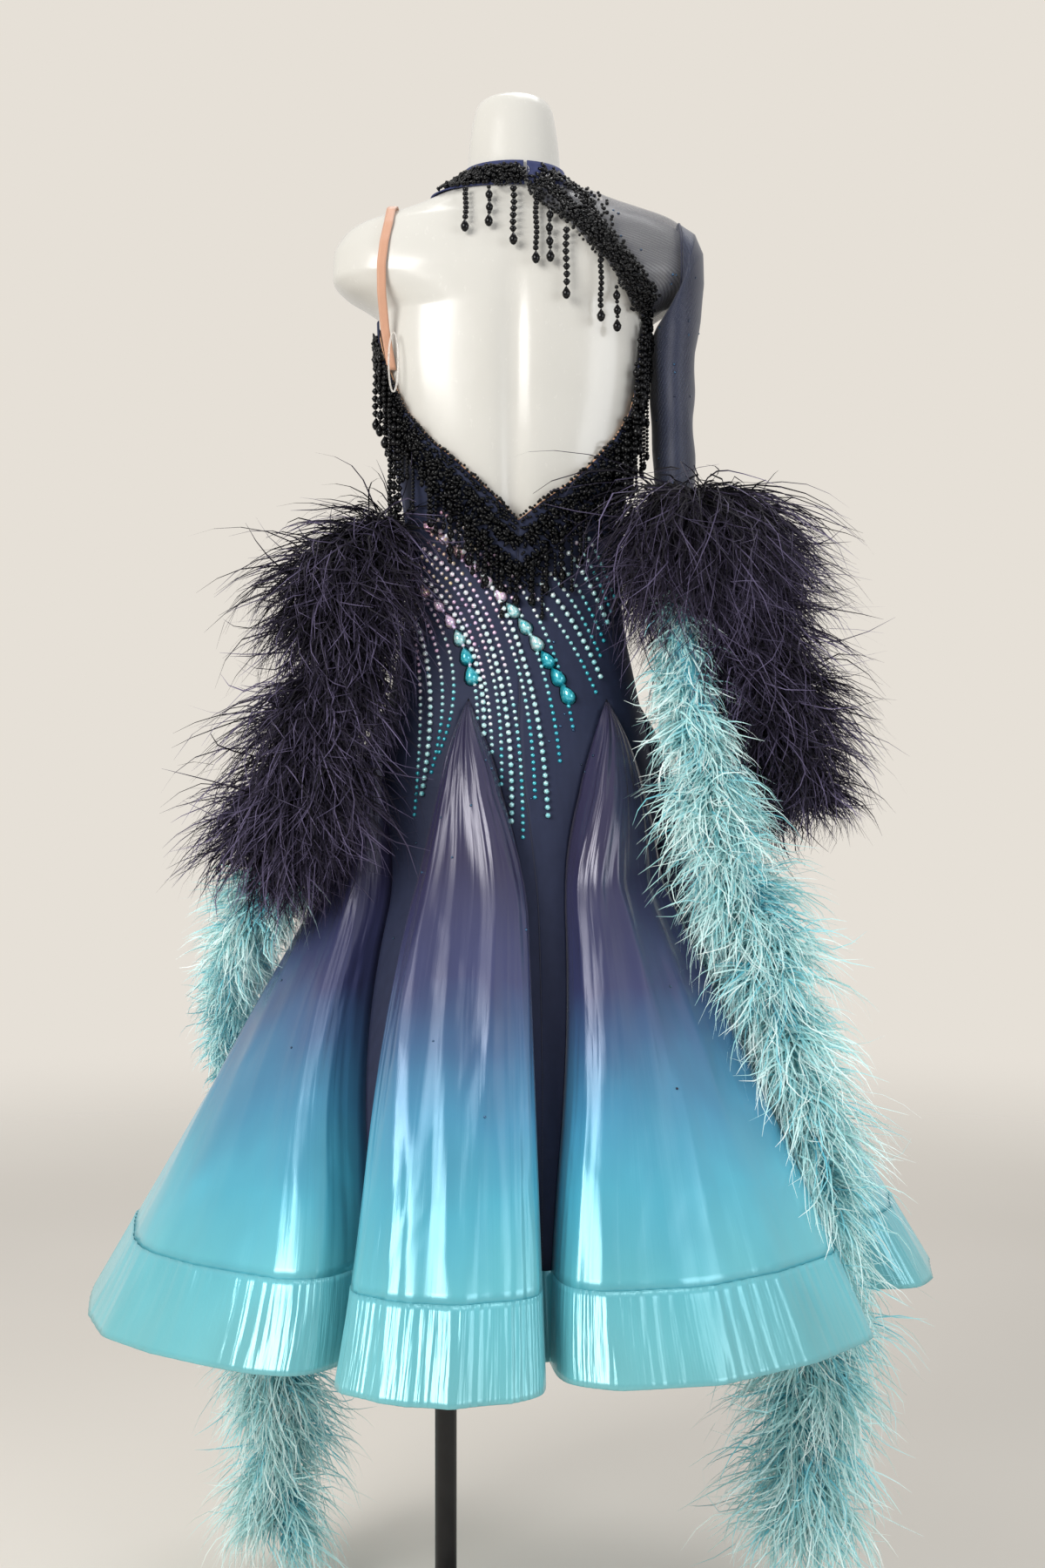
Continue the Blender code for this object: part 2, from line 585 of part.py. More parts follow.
def make_sleeve():
    turns = [2 * math.pi * i / SLEEVE_SIDES for i in range(SLEEVE_SIDES + 1)]
    outline = armhole_outline()
    rows = [[armhole_point(outline, turn) for turn in turns]]
    for under_x, under_z, over_x, over_z, half_y in SLEEVE:
        under, over = Vector((under_x, 0, under_z)), Vector((over_x, 0, over_z))
        middle, reach = (under + over) / 2, (over - under) / 2
        rows.append([
            middle - reach * math.cos(turn) + Vector((0, half_y * math.sin(turn), 0)) for turn in turns
        ])
    work = surface(rows)
    bmesh.ops.reverse_faces(work, faces=work.faces[:])
    add_wall(finish("sleeve_right", to_mesh(work, "sleeve_right"), "navy_mesh"), MESH_CLOTH)


def make_strap():
    work = bmesh.new()
    rings = []
    points = [Vector(point) for point in STRAP]
    for i, point in enumerate(points):
        way = (points[min(i + 1, len(points) - 1)] - points[max(i - 1, 0)]).normalized()
        side = Vector((1, 0, 0))
        side = (side - way * side.dot(way)).normalized() * STRAP_WIDTH / 2
        out = side.cross(way).normalized() * STRAP_THICK / 2
        corners = point - side - out, point + side - out, point + side + out, point - side + out
        rings.append([work.verts.new(corner) for corner in corners])
    for low, high in zip(rings, rings[1:]):
        for i in range(4):
            j = (i + 1) % 4
            work.faces.new((low[i], low[j], high[j], high[i]))
    work.faces.new(reversed(rings[0]))
    work.faces.new(rings[-1])
    bmesh.ops.recalc_face_normals(work, faces=work.faces[:])
    finish("strap_left", to_mesh(work, "strap_left"), "nude_strap")


# ---- Beaded trims with their fringe ---------------------------------------------------------------
def back_surface(x, height, off):
    """A point behind the form at a given x."""
    half, behind, square = (between(FORM, height, column) for column in (1, 2, 4))
    share = min(abs(x) / (half + off), 0.985)
    return Vector((x, -(behind + off) * (1 - share**square) ** (1 / square), height))


def cloth_tree():
    """The outer sides of the body, the yoke and the collar, for what is sewn onto them."""
    points, faces = [], []
    for name in ("body_back_left", "body_back_right", "body_front", "collar", "yoke_right"):
        mesh = bpy.data.objects[name].data
        first = len(points)
        points += [vert.co.copy() for vert in mesh.vertices]
        faces += [[first + corner for corner in face.vertices] for face in mesh.polygons]
    return BVHTree.FromPolygons(points, faces)


def on_cloth(tree, angle, height, off):
    start = polar(angle, OUTSIDE, height)
    inward = polar(angle, -1.0, 0.0)
    hit, normal, _, _ = tree.ray_cast(start, inward)
    if hit is None or (hit - on_form(angle, height, EASE)).length > NEAR_CLOTH:
        return on_form(angle, height, EASE + off)
    return hit + (normal if normal.dot(inward) < 0 else -normal) * off


def make_relief_wall(inner_rows, outer_rows):
    """A closed wall with a plain inner side and an outer side of its own."""
    work = surface(inner_rows)
    place = work.verts.layers.int.new("place")
    work.verts.ensure_lookup_table()
    for number, vert in enumerate(work.verts):
        vert[place] = number
    made = bmesh.ops.extrude_face_region(work, geom=work.faces[:])
    outer = [point for row in outer_rows for point in row]
    for vert in (item for item in made["geom"] if isinstance(item, bmesh.types.BMVert)):
        vert.co = outer[vert[place]]
    bmesh.ops.recalc_face_normals(work, faces=work.faces[:])
    return work


def grow(work, face, stations):
    """Draws a face out along stations of middle, half width, and the two directions of its section."""
    for middle, half, along, out in stations:
        centre = face.calc_center_median()
        face = bmesh.ops.extrude_discrete_faces(work, faces=[face])["faces"][0]
        square = [along * half + out * half, out * half - along * half]
        square += [-corner for corner in square]
        if (square[1] - square[0]).cross(square[2] - square[1]).dot(middle - centre) < 0:
            square.reverse()
        verts = list(face.verts)
        turned = [square[k:] + square[:k] for k in range(4)]
        best = max(turned, key=lambda order: sum(
            (vert.co - centre).normalized().dot(corner) for vert, corner in zip(verts, order)))
        for vert, corner in zip(verts, best):
            vert.co = middle + corner
    return face


def make_trim(name, rows, tree):
    inner_rows, outer_rows = [], []
    lift = TRIM_LIFT[name]
    for i, (angle, height, inner_angle, inner_height) in enumerate(rows):
        inner_row, outer_row = [], []
        for j in range(TRIM_ACROSS + 1):
            share = j / TRIM_ACROSS
            here = angle + (inner_angle - angle) * share, height + (inner_height - height) * share
            bump = TRIM_BUMPS[(3 * i + 2 * j) % len(TRIM_BUMPS)]
            inner_row.append(on_cloth(tree, *here, lift))
            outer_row.append(on_cloth(tree, *here, lift + TRIM_THICK + bump))
        inner_rows.append(inner_row)
        outer_rows.append(outer_row)
    work = make_relief_wall(inner_rows, outer_rows)
    lower_edge = [
        face for face in work.faces
        if all(min((vert.co - point).length for row in (inner_rows, outer_rows) for point in
                   (line[0] for line in row)) < 1e-6 for vert in face.verts)
    ]
    for owner, x, top, end in STRANDS:
        if owner == name:
            face = min(lower_edge, key=lambda one: abs(one.calc_center_median().x - x)
                       + abs(one.calc_center_median().z - top))
            lower_edge.remove(face)
            add_strand(work, face, x, min(top, face.calc_center_median().z - 0.006), end)
    finish(name, to_mesh(work, name), "jet_beads")


def add_strand(work, face, x, top, end):
    beads = max(2, round((top - end) / BEAD_STEP))
    along = Vector((1, 0, 0))
    out = Vector((0, -1, 0))
    stations, farthest = [], face.calc_center_median().y
    for k in range(2 * beads + 1):
        height = top + (end - top) * k / (2 * beads)
        point = back_surface(x, height, STRAND_OFF)
        farthest = min(farthest, point.y)
        stations.append((Vector((x, farthest, height)), STRAND_BEAD if k % 2 else STRAND_NECK, along, out))
    grow(work, face, stations)


# ---- Feather boas ---------------------------------------------------------------------------------
def smooth_path(points, spacing):
    """Points a spacing apart along a Catmull-Rom curve through the given ones."""
    knots = [Vector(point) for point in points]
    knots = [2 * knots[0] - knots[1], *knots, 2 * knots[-1] - knots[-2]]
    fine = []
    for i in range(1, len(knots) - 2):
        a, b, c, d = knots[i - 1:i + 3]
        for k in range(16):
            t = k / 16
            fine.append(0.5 * (2 * b + (c - a) * t + (2 * a - 5 * b + 4 * c - d) * t * t
                               + (3 * b - a - 3 * c + d) * t**3))
    fine.append(knots[-2])
    length = sum((q - p).length for p, q in zip(fine, fine[1:]))
    count = max(2, round(length / spacing))
    path, walked, index = [fine[0]], 0.0, 0
    for k in range(1, count):
        target = length * k / count
        while walked + (fine[index + 1] - fine[index]).length < target:
            walked += (fine[index + 1] - fine[index]).length
            index += 1
        step = fine[index + 1] - fine[index]
        path.append(fine[index] + step * ((target - walked) / step.length))
    return [*path, fine[-1]]


def core_rings(work, path, outward):
    """Rings of a boa's core; outward gives the direction of a ring's first corner."""
    rings = []
    for i, middle in enumerate(path):
        way = (path[min(i + 1, len(path) - 1)] - path[max(i - 1, 0)]).normalized()
        if i in (0, len(path) - 1):
            way = Vector([part if abs(part) == max(map(abs, way)) else 0 for part in way]).normalized()
        first = outward - way * outward.dot(way)
        first.normalize()
        second = way.cross(first)
        corners = []
        for k in range(CORE_SIDES):
            turn = 2 * math.pi * (k + 0.5) / CORE_SIDES
            spoke = first * math.cos(turn) + second * math.sin(turn)
            corners.append(work.verts.new(middle + CORE * spoke))
        rings.append(corners)
    return rings


def make_boa(name, finish_name, path, outward, lock_at):
    """A core with locks of feather; lock_at gives a lock's reach and droop, or None, for a face."""
    work = bmesh.new()
    rings = core_rings(work, path, outward)
    sides = []
    for i, (low, high) in enumerate(zip(rings, rings[1:])):
        for k in range(CORE_SIDES):
            j = (k + 1) % CORE_SIDES
            sides.append((i, k, work.faces.new((low[k], low[j], high[j], high[k]))))
    work.faces.new(reversed(rings[0]))
    work.faces.new(rings[-1])
    bmesh.ops.recalc_face_normals(work, faces=work.faces[:])
    for i, k, face in sides:
        shape = lock_at(i / max(len(path) - 2, 1), i, k, face.normal.copy(), face.calc_center_median())
        if shape:
            add_lock(work, face, *shape)
    finish(name, to_mesh(work, name), finish_name)


def add_lock(work, face, reach, droop):
    centre = face.calc_center_median()
    root = math.sqrt(face.calc_area()) / 2
    normal = face.normal.copy()
    down = Vector((0, 0, -1))
    middle = centre + normal * reach * 0.55 + down * reach * droop * 0.30
    tip = centre + normal * reach + down * reach * droop
    tip.z = max(tip.z, FLOOR_ROOM)
    along = (face.verts[1].co - face.verts[0].co).normalized()
    across = normal.cross(along).normalized()
    grow(work, face, [(middle, root * LOCK_BASE * 0.6, along, across), (tip, LOCK_TIP, along, across)])


def hanging_lock(first, last, droop, high_way, low_way):
    def lock_at(share, ring, corner, normal, centre):
        way = Vector((*high_way, 0)).lerp(Vector((*low_way, 0)), share).normalized()
        if normal.dot(way) < LOCK_SPREAD:
            return None
        return first + (last - first) * share, droop
    return lock_at


def cuff_lock(share, ring, corner, normal, centre):
    outward = Vector((centre.x - CUFF_CENTRE.x, centre.y - CUFF_CENTRE.y, 0)).normalized()
    if normal.dot(outward) < -0.2 or normal.z < -0.3:
        return None
    return CUFF_LOCK, CUFF_DROOP


def make_boas():
    for name, (finish_name, spacing, first, last, droop, high_way, low_way, points) in BOAS.items():
        outward = Vector((*high_way, 0))
        locks = hanging_lock(first, last, droop, high_way, low_way)
        make_boa(name, finish_name, smooth_path(points, spacing), outward, locks)
    turns = [math.radians(CUFF_REACH * (k / 6 - 1)) for k in range(13)]
    path = [CUFF_CENTRE + Vector((CUFF_HALF_X * math.cos(t), CUFF_HALF_Y * math.sin(t), 0)) for t in turns]
    make_boa("boa_cuff_right", "navy_feather", path, Vector((0, 0, 1)), cuff_lock)


# ---- Build ----------------------------------------------------------------------------------------
def main():
    clear_scene()
    collection = bpy.data.collections.new("ballroom_gown")
    bpy.context.scene.collection.children.link(collection)
    make_cylinder("stand_base", BASE_RADIUS, 0.0, BASE_THICK, 40)
    make_cylinder("stand_pole", POLE_RADIUS, BASE_THICK + SEAM, FORM[0][0] - SEAM, SHAFT_SIDES, POLE_X)
    make_form()
    make_body()
    for index in range(len(GODETS)):
        make_godet(index)
        make_band(index)
    make_collar()
    make_yoke()
    make_sleeve()
    make_strap()
    tree = cloth_tree()
    for name, rows in TRIMS.items():
        make_trim(name, rows, tree)
    make_boas()


main()
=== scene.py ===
# %% [markdown]
# # A ballroom gown on a dress form
# The gown is seen from behind, where its back is open. It has a fitted navy body, eight satin godets that
# shade from purple navy to turquoise, a stiffened hem band, one sheer sleeve, jet beading with fringe along
# the open edges, fans of small stones, and ostrich boas. It stands on a white limbless form.
# The CAD frame holds the real sizes; this script makes the finished surfaces around it.

# %% Load the frame
import json
import math

import bmesh
import bpy
import numpy as np
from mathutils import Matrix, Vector
from mathutils.bvhtree import BVHTree

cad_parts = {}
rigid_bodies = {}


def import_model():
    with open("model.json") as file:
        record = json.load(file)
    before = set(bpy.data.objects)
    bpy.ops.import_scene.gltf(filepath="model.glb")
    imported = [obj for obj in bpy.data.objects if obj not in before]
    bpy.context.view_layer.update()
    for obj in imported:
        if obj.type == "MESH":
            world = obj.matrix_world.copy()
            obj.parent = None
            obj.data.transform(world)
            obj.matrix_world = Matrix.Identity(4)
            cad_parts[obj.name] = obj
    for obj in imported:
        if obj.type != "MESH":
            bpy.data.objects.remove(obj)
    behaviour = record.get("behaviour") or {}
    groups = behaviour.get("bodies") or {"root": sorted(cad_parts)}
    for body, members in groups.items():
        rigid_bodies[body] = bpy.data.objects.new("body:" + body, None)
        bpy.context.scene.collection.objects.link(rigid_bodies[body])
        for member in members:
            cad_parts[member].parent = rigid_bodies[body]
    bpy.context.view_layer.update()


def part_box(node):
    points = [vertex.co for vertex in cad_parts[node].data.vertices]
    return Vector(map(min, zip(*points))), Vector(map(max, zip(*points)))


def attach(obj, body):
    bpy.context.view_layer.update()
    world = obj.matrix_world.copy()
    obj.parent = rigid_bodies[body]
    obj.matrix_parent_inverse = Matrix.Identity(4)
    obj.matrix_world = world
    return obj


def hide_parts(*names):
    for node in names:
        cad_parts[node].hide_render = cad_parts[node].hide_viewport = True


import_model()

# %% [markdown]
# ## Camera
# An eye-level camera two metres behind the gown. At that nearness the skirt's rim looks larger than the
# shoulders, so the distance matters more than the lens. The long side of the picture spans the sensor.

# %% The camera
CAMERA_PLACE = (0.01, -2.2, 1.03)
CAMERA_LENS = 44.0

camera_data = bpy.data.cameras.new("studio_camera")
camera_data.lens = CAMERA_LENS
camera_data.sensor_width = 36.0
camera = bpy.data.objects.new("studio_camera", camera_data)
camera.location = CAMERA_PLACE
camera.rotation_euler = (math.radians(90), 0, 0)
bpy.context.scene.collection.objects.link(camera)
bpy.context.scene.camera = camera
print("camera", CAMERA_PLACE, CAMERA_LENS, "mm")

# %% [markdown]
# ## Helpers for pieces and node materials
# Each piece sits at the origin with its place in its mesh and rides on the one rigid body.

# %% Piece helpers
ROOT = "root"


def srgb(code):
    """A colour code as linear red, green, blue and alpha."""
    parts = [int(code[i:i + 2], 16) / 255 for i in (1, 3, 5)]
    return (*[part / 12.92 if part < 0.04045 else ((part + 0.055) / 1.055) ** 2.4 for part in parts], 1.0)


def add_piece(name, mesh, material, nodes=(), smooth=True):
    piece = bpy.data.objects.new(name, mesh)
    bpy.context.scene.collection.objects.link(piece)
    mesh.materials.append(material)
    if smooth:
        mesh.shade_smooth()
    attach(piece, ROOT)
    if nodes:
        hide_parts(*nodes)
    return piece


# %% Node helpers
def new_material(name):
    material = bpy.data.materials.new(name)
    material.use_nodes = True
    tree = material.node_tree
    return material, tree, tree.nodes["Principled BSDF"]


def node(tree, kind, inputs=None, **settings):
    made = tree.nodes.new(kind)
    for key, value in settings.items():
        setattr(made, key, value)
    for key, value in (inputs or {}).items():
        if isinstance(value, bpy.types.NodeSocket):
            tree.links.new(value, made.inputs[key])
        else:
            made.inputs[key].default_value = value
    return made


def ramp(tree, factor, stops):
    """Colours along a factor. A stop is a place and a colour code, or a place and a linear colour."""
    made = node(tree, "ShaderNodeValToRGB", {"Fac": factor})
    elements = made.color_ramp.elements
    while len(elements) < len(stops):
        elements.new(1.0)
    for element, (place, colour) in zip(elements, stops):
        element.position = place
        element.color = srgb(colour) if isinstance(colour, str) else colour
    return made.outputs["Color"]


def colour_by(tree, shader, factor, *stops):
    tree.links.new(ramp(tree, factor, stops), shader.inputs["Base Color"])


def remap(tree, value, start, end, low, high, **settings):
    """The values from start to end, stretched to run from low to high."""
    inputs = {"Value": value, "From Min": start, "From Max": end, "To Min": low, "To Max": high}
    return node(tree, "ShaderNodeMapRange", inputs, **settings).outputs["Result"]


def worked(tree, operation, *values, **settings):
    """The result of a Math node."""
    made = node(tree, "ShaderNodeMath", dict(enumerate(values)), operation=operation, **settings)
    return made.outputs["Value"]


def object_point(tree):
    return node(tree, "ShaderNodeTexCoord").outputs["Object"]


def uv_point(tree):
    return node(tree, "ShaderNodeTexCoord").outputs["UV"]


def stretched(tree, point, scale):
    return node(tree, "ShaderNodeMapping", {"Vector": point, "Scale": scale}).outputs["Vector"]


def noise(tree, point, scale, detail=3.0, rough=0.5, warp=0.0):
    inputs = {"Vector": point, "Scale": scale, "Detail": detail, "Roughness": rough, "Distortion": warp}
    return node(tree, "ShaderNodeTexNoise", inputs).outputs["Fac"]


def ribs(tree, point, direction, **inputs):
    """Even ribs across a direction."""
    inputs = {"Vector": point, **{key.replace("_", " "): value for key, value in inputs.items()}}
    made = node(tree, "ShaderNodeTexWave", inputs, wave_type="BANDS", bands_direction=direction)
    return made.outputs["Fac"]


def add_bump(tree, shader, height, strength, distance):
    """A bump over those that the shader already has."""
    inputs = {"Height": height, "Strength": strength, "Distance": distance}
    before = shader.inputs["Normal"].links
    if before:
        inputs["Normal"] = before[0].from_socket
    tree.links.new(node(tree, "ShaderNodeBump", inputs).outputs["Normal"], shader.inputs["Normal"])


def set_finish(shader, **values):
    for key, value in values.items():
        shader.inputs[key.replace("_", " ").title().replace("Ior", "IOR")].default_value = value


def mottled(name, scale, detail, low, high, **values):
    """A finish that wanders between two colours, each given with its place on the noise."""
    material, tree, shader = new_material(name)
    colour_by(tree, shader, noise(tree, object_point(tree), scale, detail), low, high)
    set_finish(shader, **values)
    return material, tree, shader


# %% [markdown]
# ## The form's sections
# One table of sections gives the torso, and everything that is worn follows from it: the cloth lies a few
# millimetres outside. A smooth curve through the rows gives the real form's rounded surface.

# %% Sections of the form
EASE = 0.005
COLLAR_EASE = 0.003
YOKE_EASE = 0.0065
# Rows: height, half width, depth behind, depth in front, squareness of the outline
FORM = np.array([
    (0.8, 0.128, 0.078, 0.07, 2.2),
    (0.81, 0.15, 0.095, 0.085, 2.2),
    (0.88, 0.158, 0.11, 0.09, 2.2),
    (0.97, 0.16, 0.12, 0.095, 2.2),
    (1.06, 0.152, 0.112, 0.098, 2.2),
    (1.14, 0.135, 0.088, 0.094, 2.3),
    (1.23, 0.119, 0.072, 0.086, 2.3),
    (1.28, 0.117, 0.068, 0.083, 2.4),
    (1.345, 0.122, 0.078, 0.092, 2.4),
    (1.41, 0.136, 0.088, 0.108, 2.4),
    (1.5, 0.15, 0.095, 0.122, 2.4),
    (1.56, 0.152, 0.097, 0.105, 2.4),
    (1.575, 0.17, 0.096, 0.098, 2.5),
    (1.59, 0.195, 0.095, 0.09, 2.6),
    (1.605, 0.207, 0.094, 0.085, 2.7),
    (1.63, 0.206, 0.089, 0.074, 2.7),
    (1.65, 0.197, 0.082, 0.062, 2.6),
    (1.664, 0.182, 0.076, 0.058, 2.5),
    (1.675, 0.155, 0.07, 0.055, 2.3),
    (1.686, 0.122, 0.066, 0.053, 2.2),
    (1.699, 0.092, 0.062, 0.052, 2.0),
    (1.712, 0.068, 0.058, 0.052, 2.0),
    (1.73, 0.054, 0.055, 0.053, 2.0),
    (1.76, 0.051, 0.051, 0.05, 2.0),
    (1.795, 0.0455, 0.046, 0.046, 2.0),
    (1.807, 0.04, 0.041, 0.041, 2.0),
    (1.813, 0.031, 0.032, 0.032, 2.0),
    (1.816, 0.018, 0.018, 0.018, 2.0),
])
FINE_STEPS = 4


def rounded(table, steps):
    """The table with steps rows between each two, on a curve that never overshoots its rows."""
    place, value = table[:, 0], table[:, 1:]
    slope = np.diff(value, axis=0) / np.diff(place)[:, None]
    tangent = np.zeros_like(value)
    inner = slope[:-1] * slope[1:] > 0
    tangent[1:-1][inner] = (2 * slope[:-1] * slope[1:] / np.where(inner, slope[:-1] + slope[1:], 1))[inner]
    tangent[0], tangent[-1] = slope[0], slope[-1]
    rows = []
    for i, width in enumerate(np.diff(place)):
        for t in np.arange(steps) / steps:
            start, end = value[i], value[i + 1]
            a, b = tangent[i] * width, tangent[i + 1] * width
            here = ((1 + 2 * t) * (1 - t) ** 2 * start + t * (1 - t) ** 2 * a
                    + t * t * (3 - 2 * t) * end + t * t * (t - 1) * b)
            rows.append([place[i] + t * width, *here])
    rows.append(table[-1])
    return np.array(rows)


SECTIONS = rounded(FORM, FINE_STEPS)
print(len(SECTIONS), "sections of the form")

# %% Points around the form
def unit(way):
    return way / np.maximum(np.linalg.norm(way, axis=-1, keepdims=True), 1e-9)


def section(height):
    return [np.interp(height, SECTIONS[:, 0], SECTIONS[:, column]) for column in (1, 2, 3, 4)]


def form_radius(angle, height, extra=0.0):
    """Distance from the axis, for angles in degrees from the centre back towards the sleeve's side."""
    half, behind, front, square = section(height)
    side, back = np.sin(np.radians(angle)), np.cos(np.radians(angle))
    depth = np.where(back > 0, behind, front)
    total = (np.abs(side) / (half + extra)) ** square + (np.abs(back) / (depth + extra)) ** square
    return total ** (-1.0 / square)


def polar(angle, radius, height):
    turn = np.radians(angle)
    return np.stack(np.broadcast_arrays(radius * np.sin(turn), -radius * np.cos(turn), height), axis=-1)


NEAR_TURN, NEAR_RISE = 0.4, 0.002  # how far round and up the surface is felt for its normal


def on_form(angle, height, off):
    """The form's surface moved out along its own normal."""
    def at(turn, rise):
        return polar(angle + turn, form_radius(angle + turn, height + rise), height + rise)

    around, above = at(NEAR_TURN, 0) - at(-NEAR_TURN, 0), at(0, NEAR_RISE) - at(0, -NEAR_RISE)
    return at(0, 0) + unit(np.cross(around, above)) * np.asarray(off)[..., None]


def smooth_max(one, other, blend):
    gap = np.maximum(blend - np.abs(one - other), 0.0) / blend
    return np.maximum(one, other) + gap * gap * blend * 0.25


# %% Distances along a line
def walked(line):
    """How far along a line each of its points lies."""
    return np.concatenate([[0], np.cumsum(np.linalg.norm(np.diff(line, axis=0), axis=1))])


def at_distance(line, length, distance):
    return np.stack([np.interp(distance, length, column) for column in line.T], axis=-1)


def along_route(route, share):
    """Points at shares of the length of a route."""
    length = walked(route)
    return at_distance(route, length, share * length[-1])


# %% [markdown]
# ## A sheet from a grid
# Cloth, trims and linings all start as one flat bmesh grid with its own UV map. A function bends it into
# place, row by row, so the cloth's threads follow the UVs wherever the piece goes.

# %% Bent grids
def bent_grid(columns, rows, place, outward=None):
    """A grid whose points go where place(u, v) puts them; its faces turn towards outward(centre)."""
    work = bmesh.new()
    work.loops.layers.uv.new("UVMap")
    bmesh.ops.create_grid(work, x_segments=columns, y_segments=rows, size=0.5, calc_uvs=True)
    flat = np.array([vert.co for vert in work.verts])
    bent = place(flat[:, 0] + 0.5, flat[:, 1] + 0.5)
    for vert, point in zip(work.verts, bent):
        vert.co = point
    work.normal_update()
    facing = 0.0
    for face in work.faces:
        centre = face.calc_center_median()
        way = Vector((centre.x, centre.y, 0)) if outward is None else outward(centre)
        facing += face.normal.dot(way) * face.calc_area()
    if facing < 0:
        bmesh.ops.reverse_faces(work, faces=work.faces[:])
    return work


def joined(works):
    """Several bmeshes as one."""
    whole = bmesh.new()
    for work in works:
        scratch = bpy.data.meshes.new("scratch")
        work.to_mesh(scratch)
        work.free()
        whole.from_mesh(scratch)
        bpy.data.meshes.remove(scratch)
    return whole


def to_mesh(work, name, merge=None):
    if merge:
        bmesh.ops.remove_doubles(work, verts=work.verts[:], dist=merge)
    mesh = bpy.data.meshes.new(name)
    work.to_mesh(mesh)
    work.free()
    return mesh


def closed(work, merge):
    """A wrapped grid with its seam merged, its ends filled and its faces turned outwards."""
    bmesh.ops.remove_doubles(work, verts=work.verts[:], dist=merge)
    bmesh.ops.holes_fill(work, edges=[edge for edge in work.edges if edge.is_boundary], sides=0)
    bmesh.ops.recalc_face_normals(work, faces=work.faces[:])
    return work


def add_cloth(name, work, material, nodes, thick, merge=None):
    """A sheet of cloth with its wall, and its area."""
    mesh = to_mesh(work, name, merge)
    piece = add_piece(name, mesh, material, nodes)
    wall = piece.modifiers.new("cloth thickness", "SOLIDIFY")
    wall.thickness, wall.offset = thick, -1.0
    area = sum(face.area for face in mesh.polygons)
    print(name, "area", round(area, 4))
    return piece, area


# %% [markdown]
# ## Glossy form and its stand
# The form is one moulded shell: rings of a grid wrapped round the axis and closed at the neck and the seat.
# The stand is a black tube in a round plate, each turned with a bevelled edge.

# %% Form and stand finishes
def form_finish():
    material, tree, shader = mottled("gloss_white_shell", 5.0, 4.0, (0.3, "#cac8c1"), (0.7, "#d1cfc8"),
                                     coat_weight=0.35, coat_roughness=0.2, ior=1.46)
    point = object_point(tree)
    scuffs = noise(tree, stretched(tree, point, (60, 60, 25)), 3.0, 6.0, 0.7)
    tree.links.new(remap(tree, scuffs, 0.35, 0.8, 0.16, 0.34), shader.inputs["Roughness"])
    add_bump(tree, shader, noise(tree, point, 9.0, 2.0), 0.15, 0.004)
    return material


def stand_finish():
    material, tree, shader = mottled("black_powder_coat", 30.0, 3.0, (0.3, "#151414"), (0.75, "#232222"),
                                     roughness=0.38, metallic=0.3)
    add_bump(tree, shader, noise(tree, object_point(tree), 900.0, 2.0), 0.25, 0.0004)
    return material


FORM_WHITE, STAND_BLACK = form_finish(), stand_finish()

# %% The form
FORM_SIDES = 128
SEAM_MERGE = 1e-5
# The hollows of the spine and the shoulder blades: metres deep, degrees off the centre back, degrees wide
SPINE, BLADE = (0.0075, 0, 11), (0.0022, 34, 16)
BLADE_HEIGHT, BLADE_TURNS = 1.5, 14
# The hollows fade in from one height and have faded out at another: height, length of the fade
FADE_IN, FADE_OUT = (1.2, 0.12), (1.64, 0.1)


def hollow(off_back, depth, at, wide):
    return depth * np.exp(-((off_back - at) / wide) ** 2)


def make_form():
    heights = SECTIONS[:, 0]
    rows = len(heights) - 1

    def place(u, v):
        height, angle = heights[np.rint(v * rows).astype(int)], 360 * u
        off_back = np.minimum(angle, 360 - angle)
        back = np.clip((height - FADE_IN[0]) / FADE_IN[1], 0, 1)
        back = back * np.clip((FADE_OUT[0] - height) / FADE_OUT[1], 0, 1)
        blades = hollow(off_back, *BLADE) * np.cos((height - BLADE_HEIGHT) * BLADE_TURNS) ** 2
        return polar(angle, form_radius(angle, height) - back * (hollow(off_back, *SPINE) + blades), height)

    work = closed(bent_grid(FORM_SIDES, rows, place), SEAM_MERGE)
    return add_piece("torso_shell", to_mesh(work, "torso_shell"), FORM_WHITE, ["form_torso"])


print("torso faces", len(make_form().data.polygons))

# %% The stand
TURNED_SIDES, SHARP_EDGE, SHARP_LOOK = 72, math.radians(57), math.radians(40)


def make_turned(name, node_name, bevel):
    low, high = (Vector(corner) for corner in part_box(node_name))
    work = bmesh.new()
    radius = (high.x - low.x) / 2
    bmesh.ops.create_cone(work, cap_ends=True, segments=TURNED_SIDES, radius1=radius, radius2=radius,
                          depth=high.z - low.z)
    sharp = [edge for edge in work.edges if abs(edge.calc_face_angle(0)) > SHARP_EDGE]
    bmesh.ops.bevel(work, geom=sharp, offset=bevel, segments=3, profile=0.5, affect="EDGES", material=-1)
    bmesh.ops.translate(work, verts=work.verts[:], vec=(low + high) / 2)
    piece = add_piece(name, to_mesh(work, name), STAND_BLACK, [node_name])
    piece.data.set_sharp_from_angle(angle=SHARP_LOOK)
    print(name, "radius", round(radius, 3))


make_turned("base_plate", "stand_base", 0.0025)
make_turned("stand_tube", "stand_pole", 0.001)

# %% [markdown]
# ## Cloth finishes
# The body is matt stretch crepe with a fine crosswise rib. The godets are satin: a long anisotropic sheen,
# a dip-dyed shade that follows the height, and small creases in the bump.

# %% Crepe and satin
NAVY = "#2b3149"
COLLAR_NAVY = "#3b4269"
# The dip-dyed shade from the hem up: height in metres, colour
OMBRE = [(0.46, "#70b8be"), (0.56, "#63b9c6"), (0.63, "#52aec6"), (0.7, "#478fb2"), (0.77, "#426790"),
         (0.83, "#3d436c"), (0.94, "#373453"), (1.13, "#36334f")]
OMBRE_LOW, OMBRE_HIGH = OMBRE[0][0], OMBRE[-1][0]
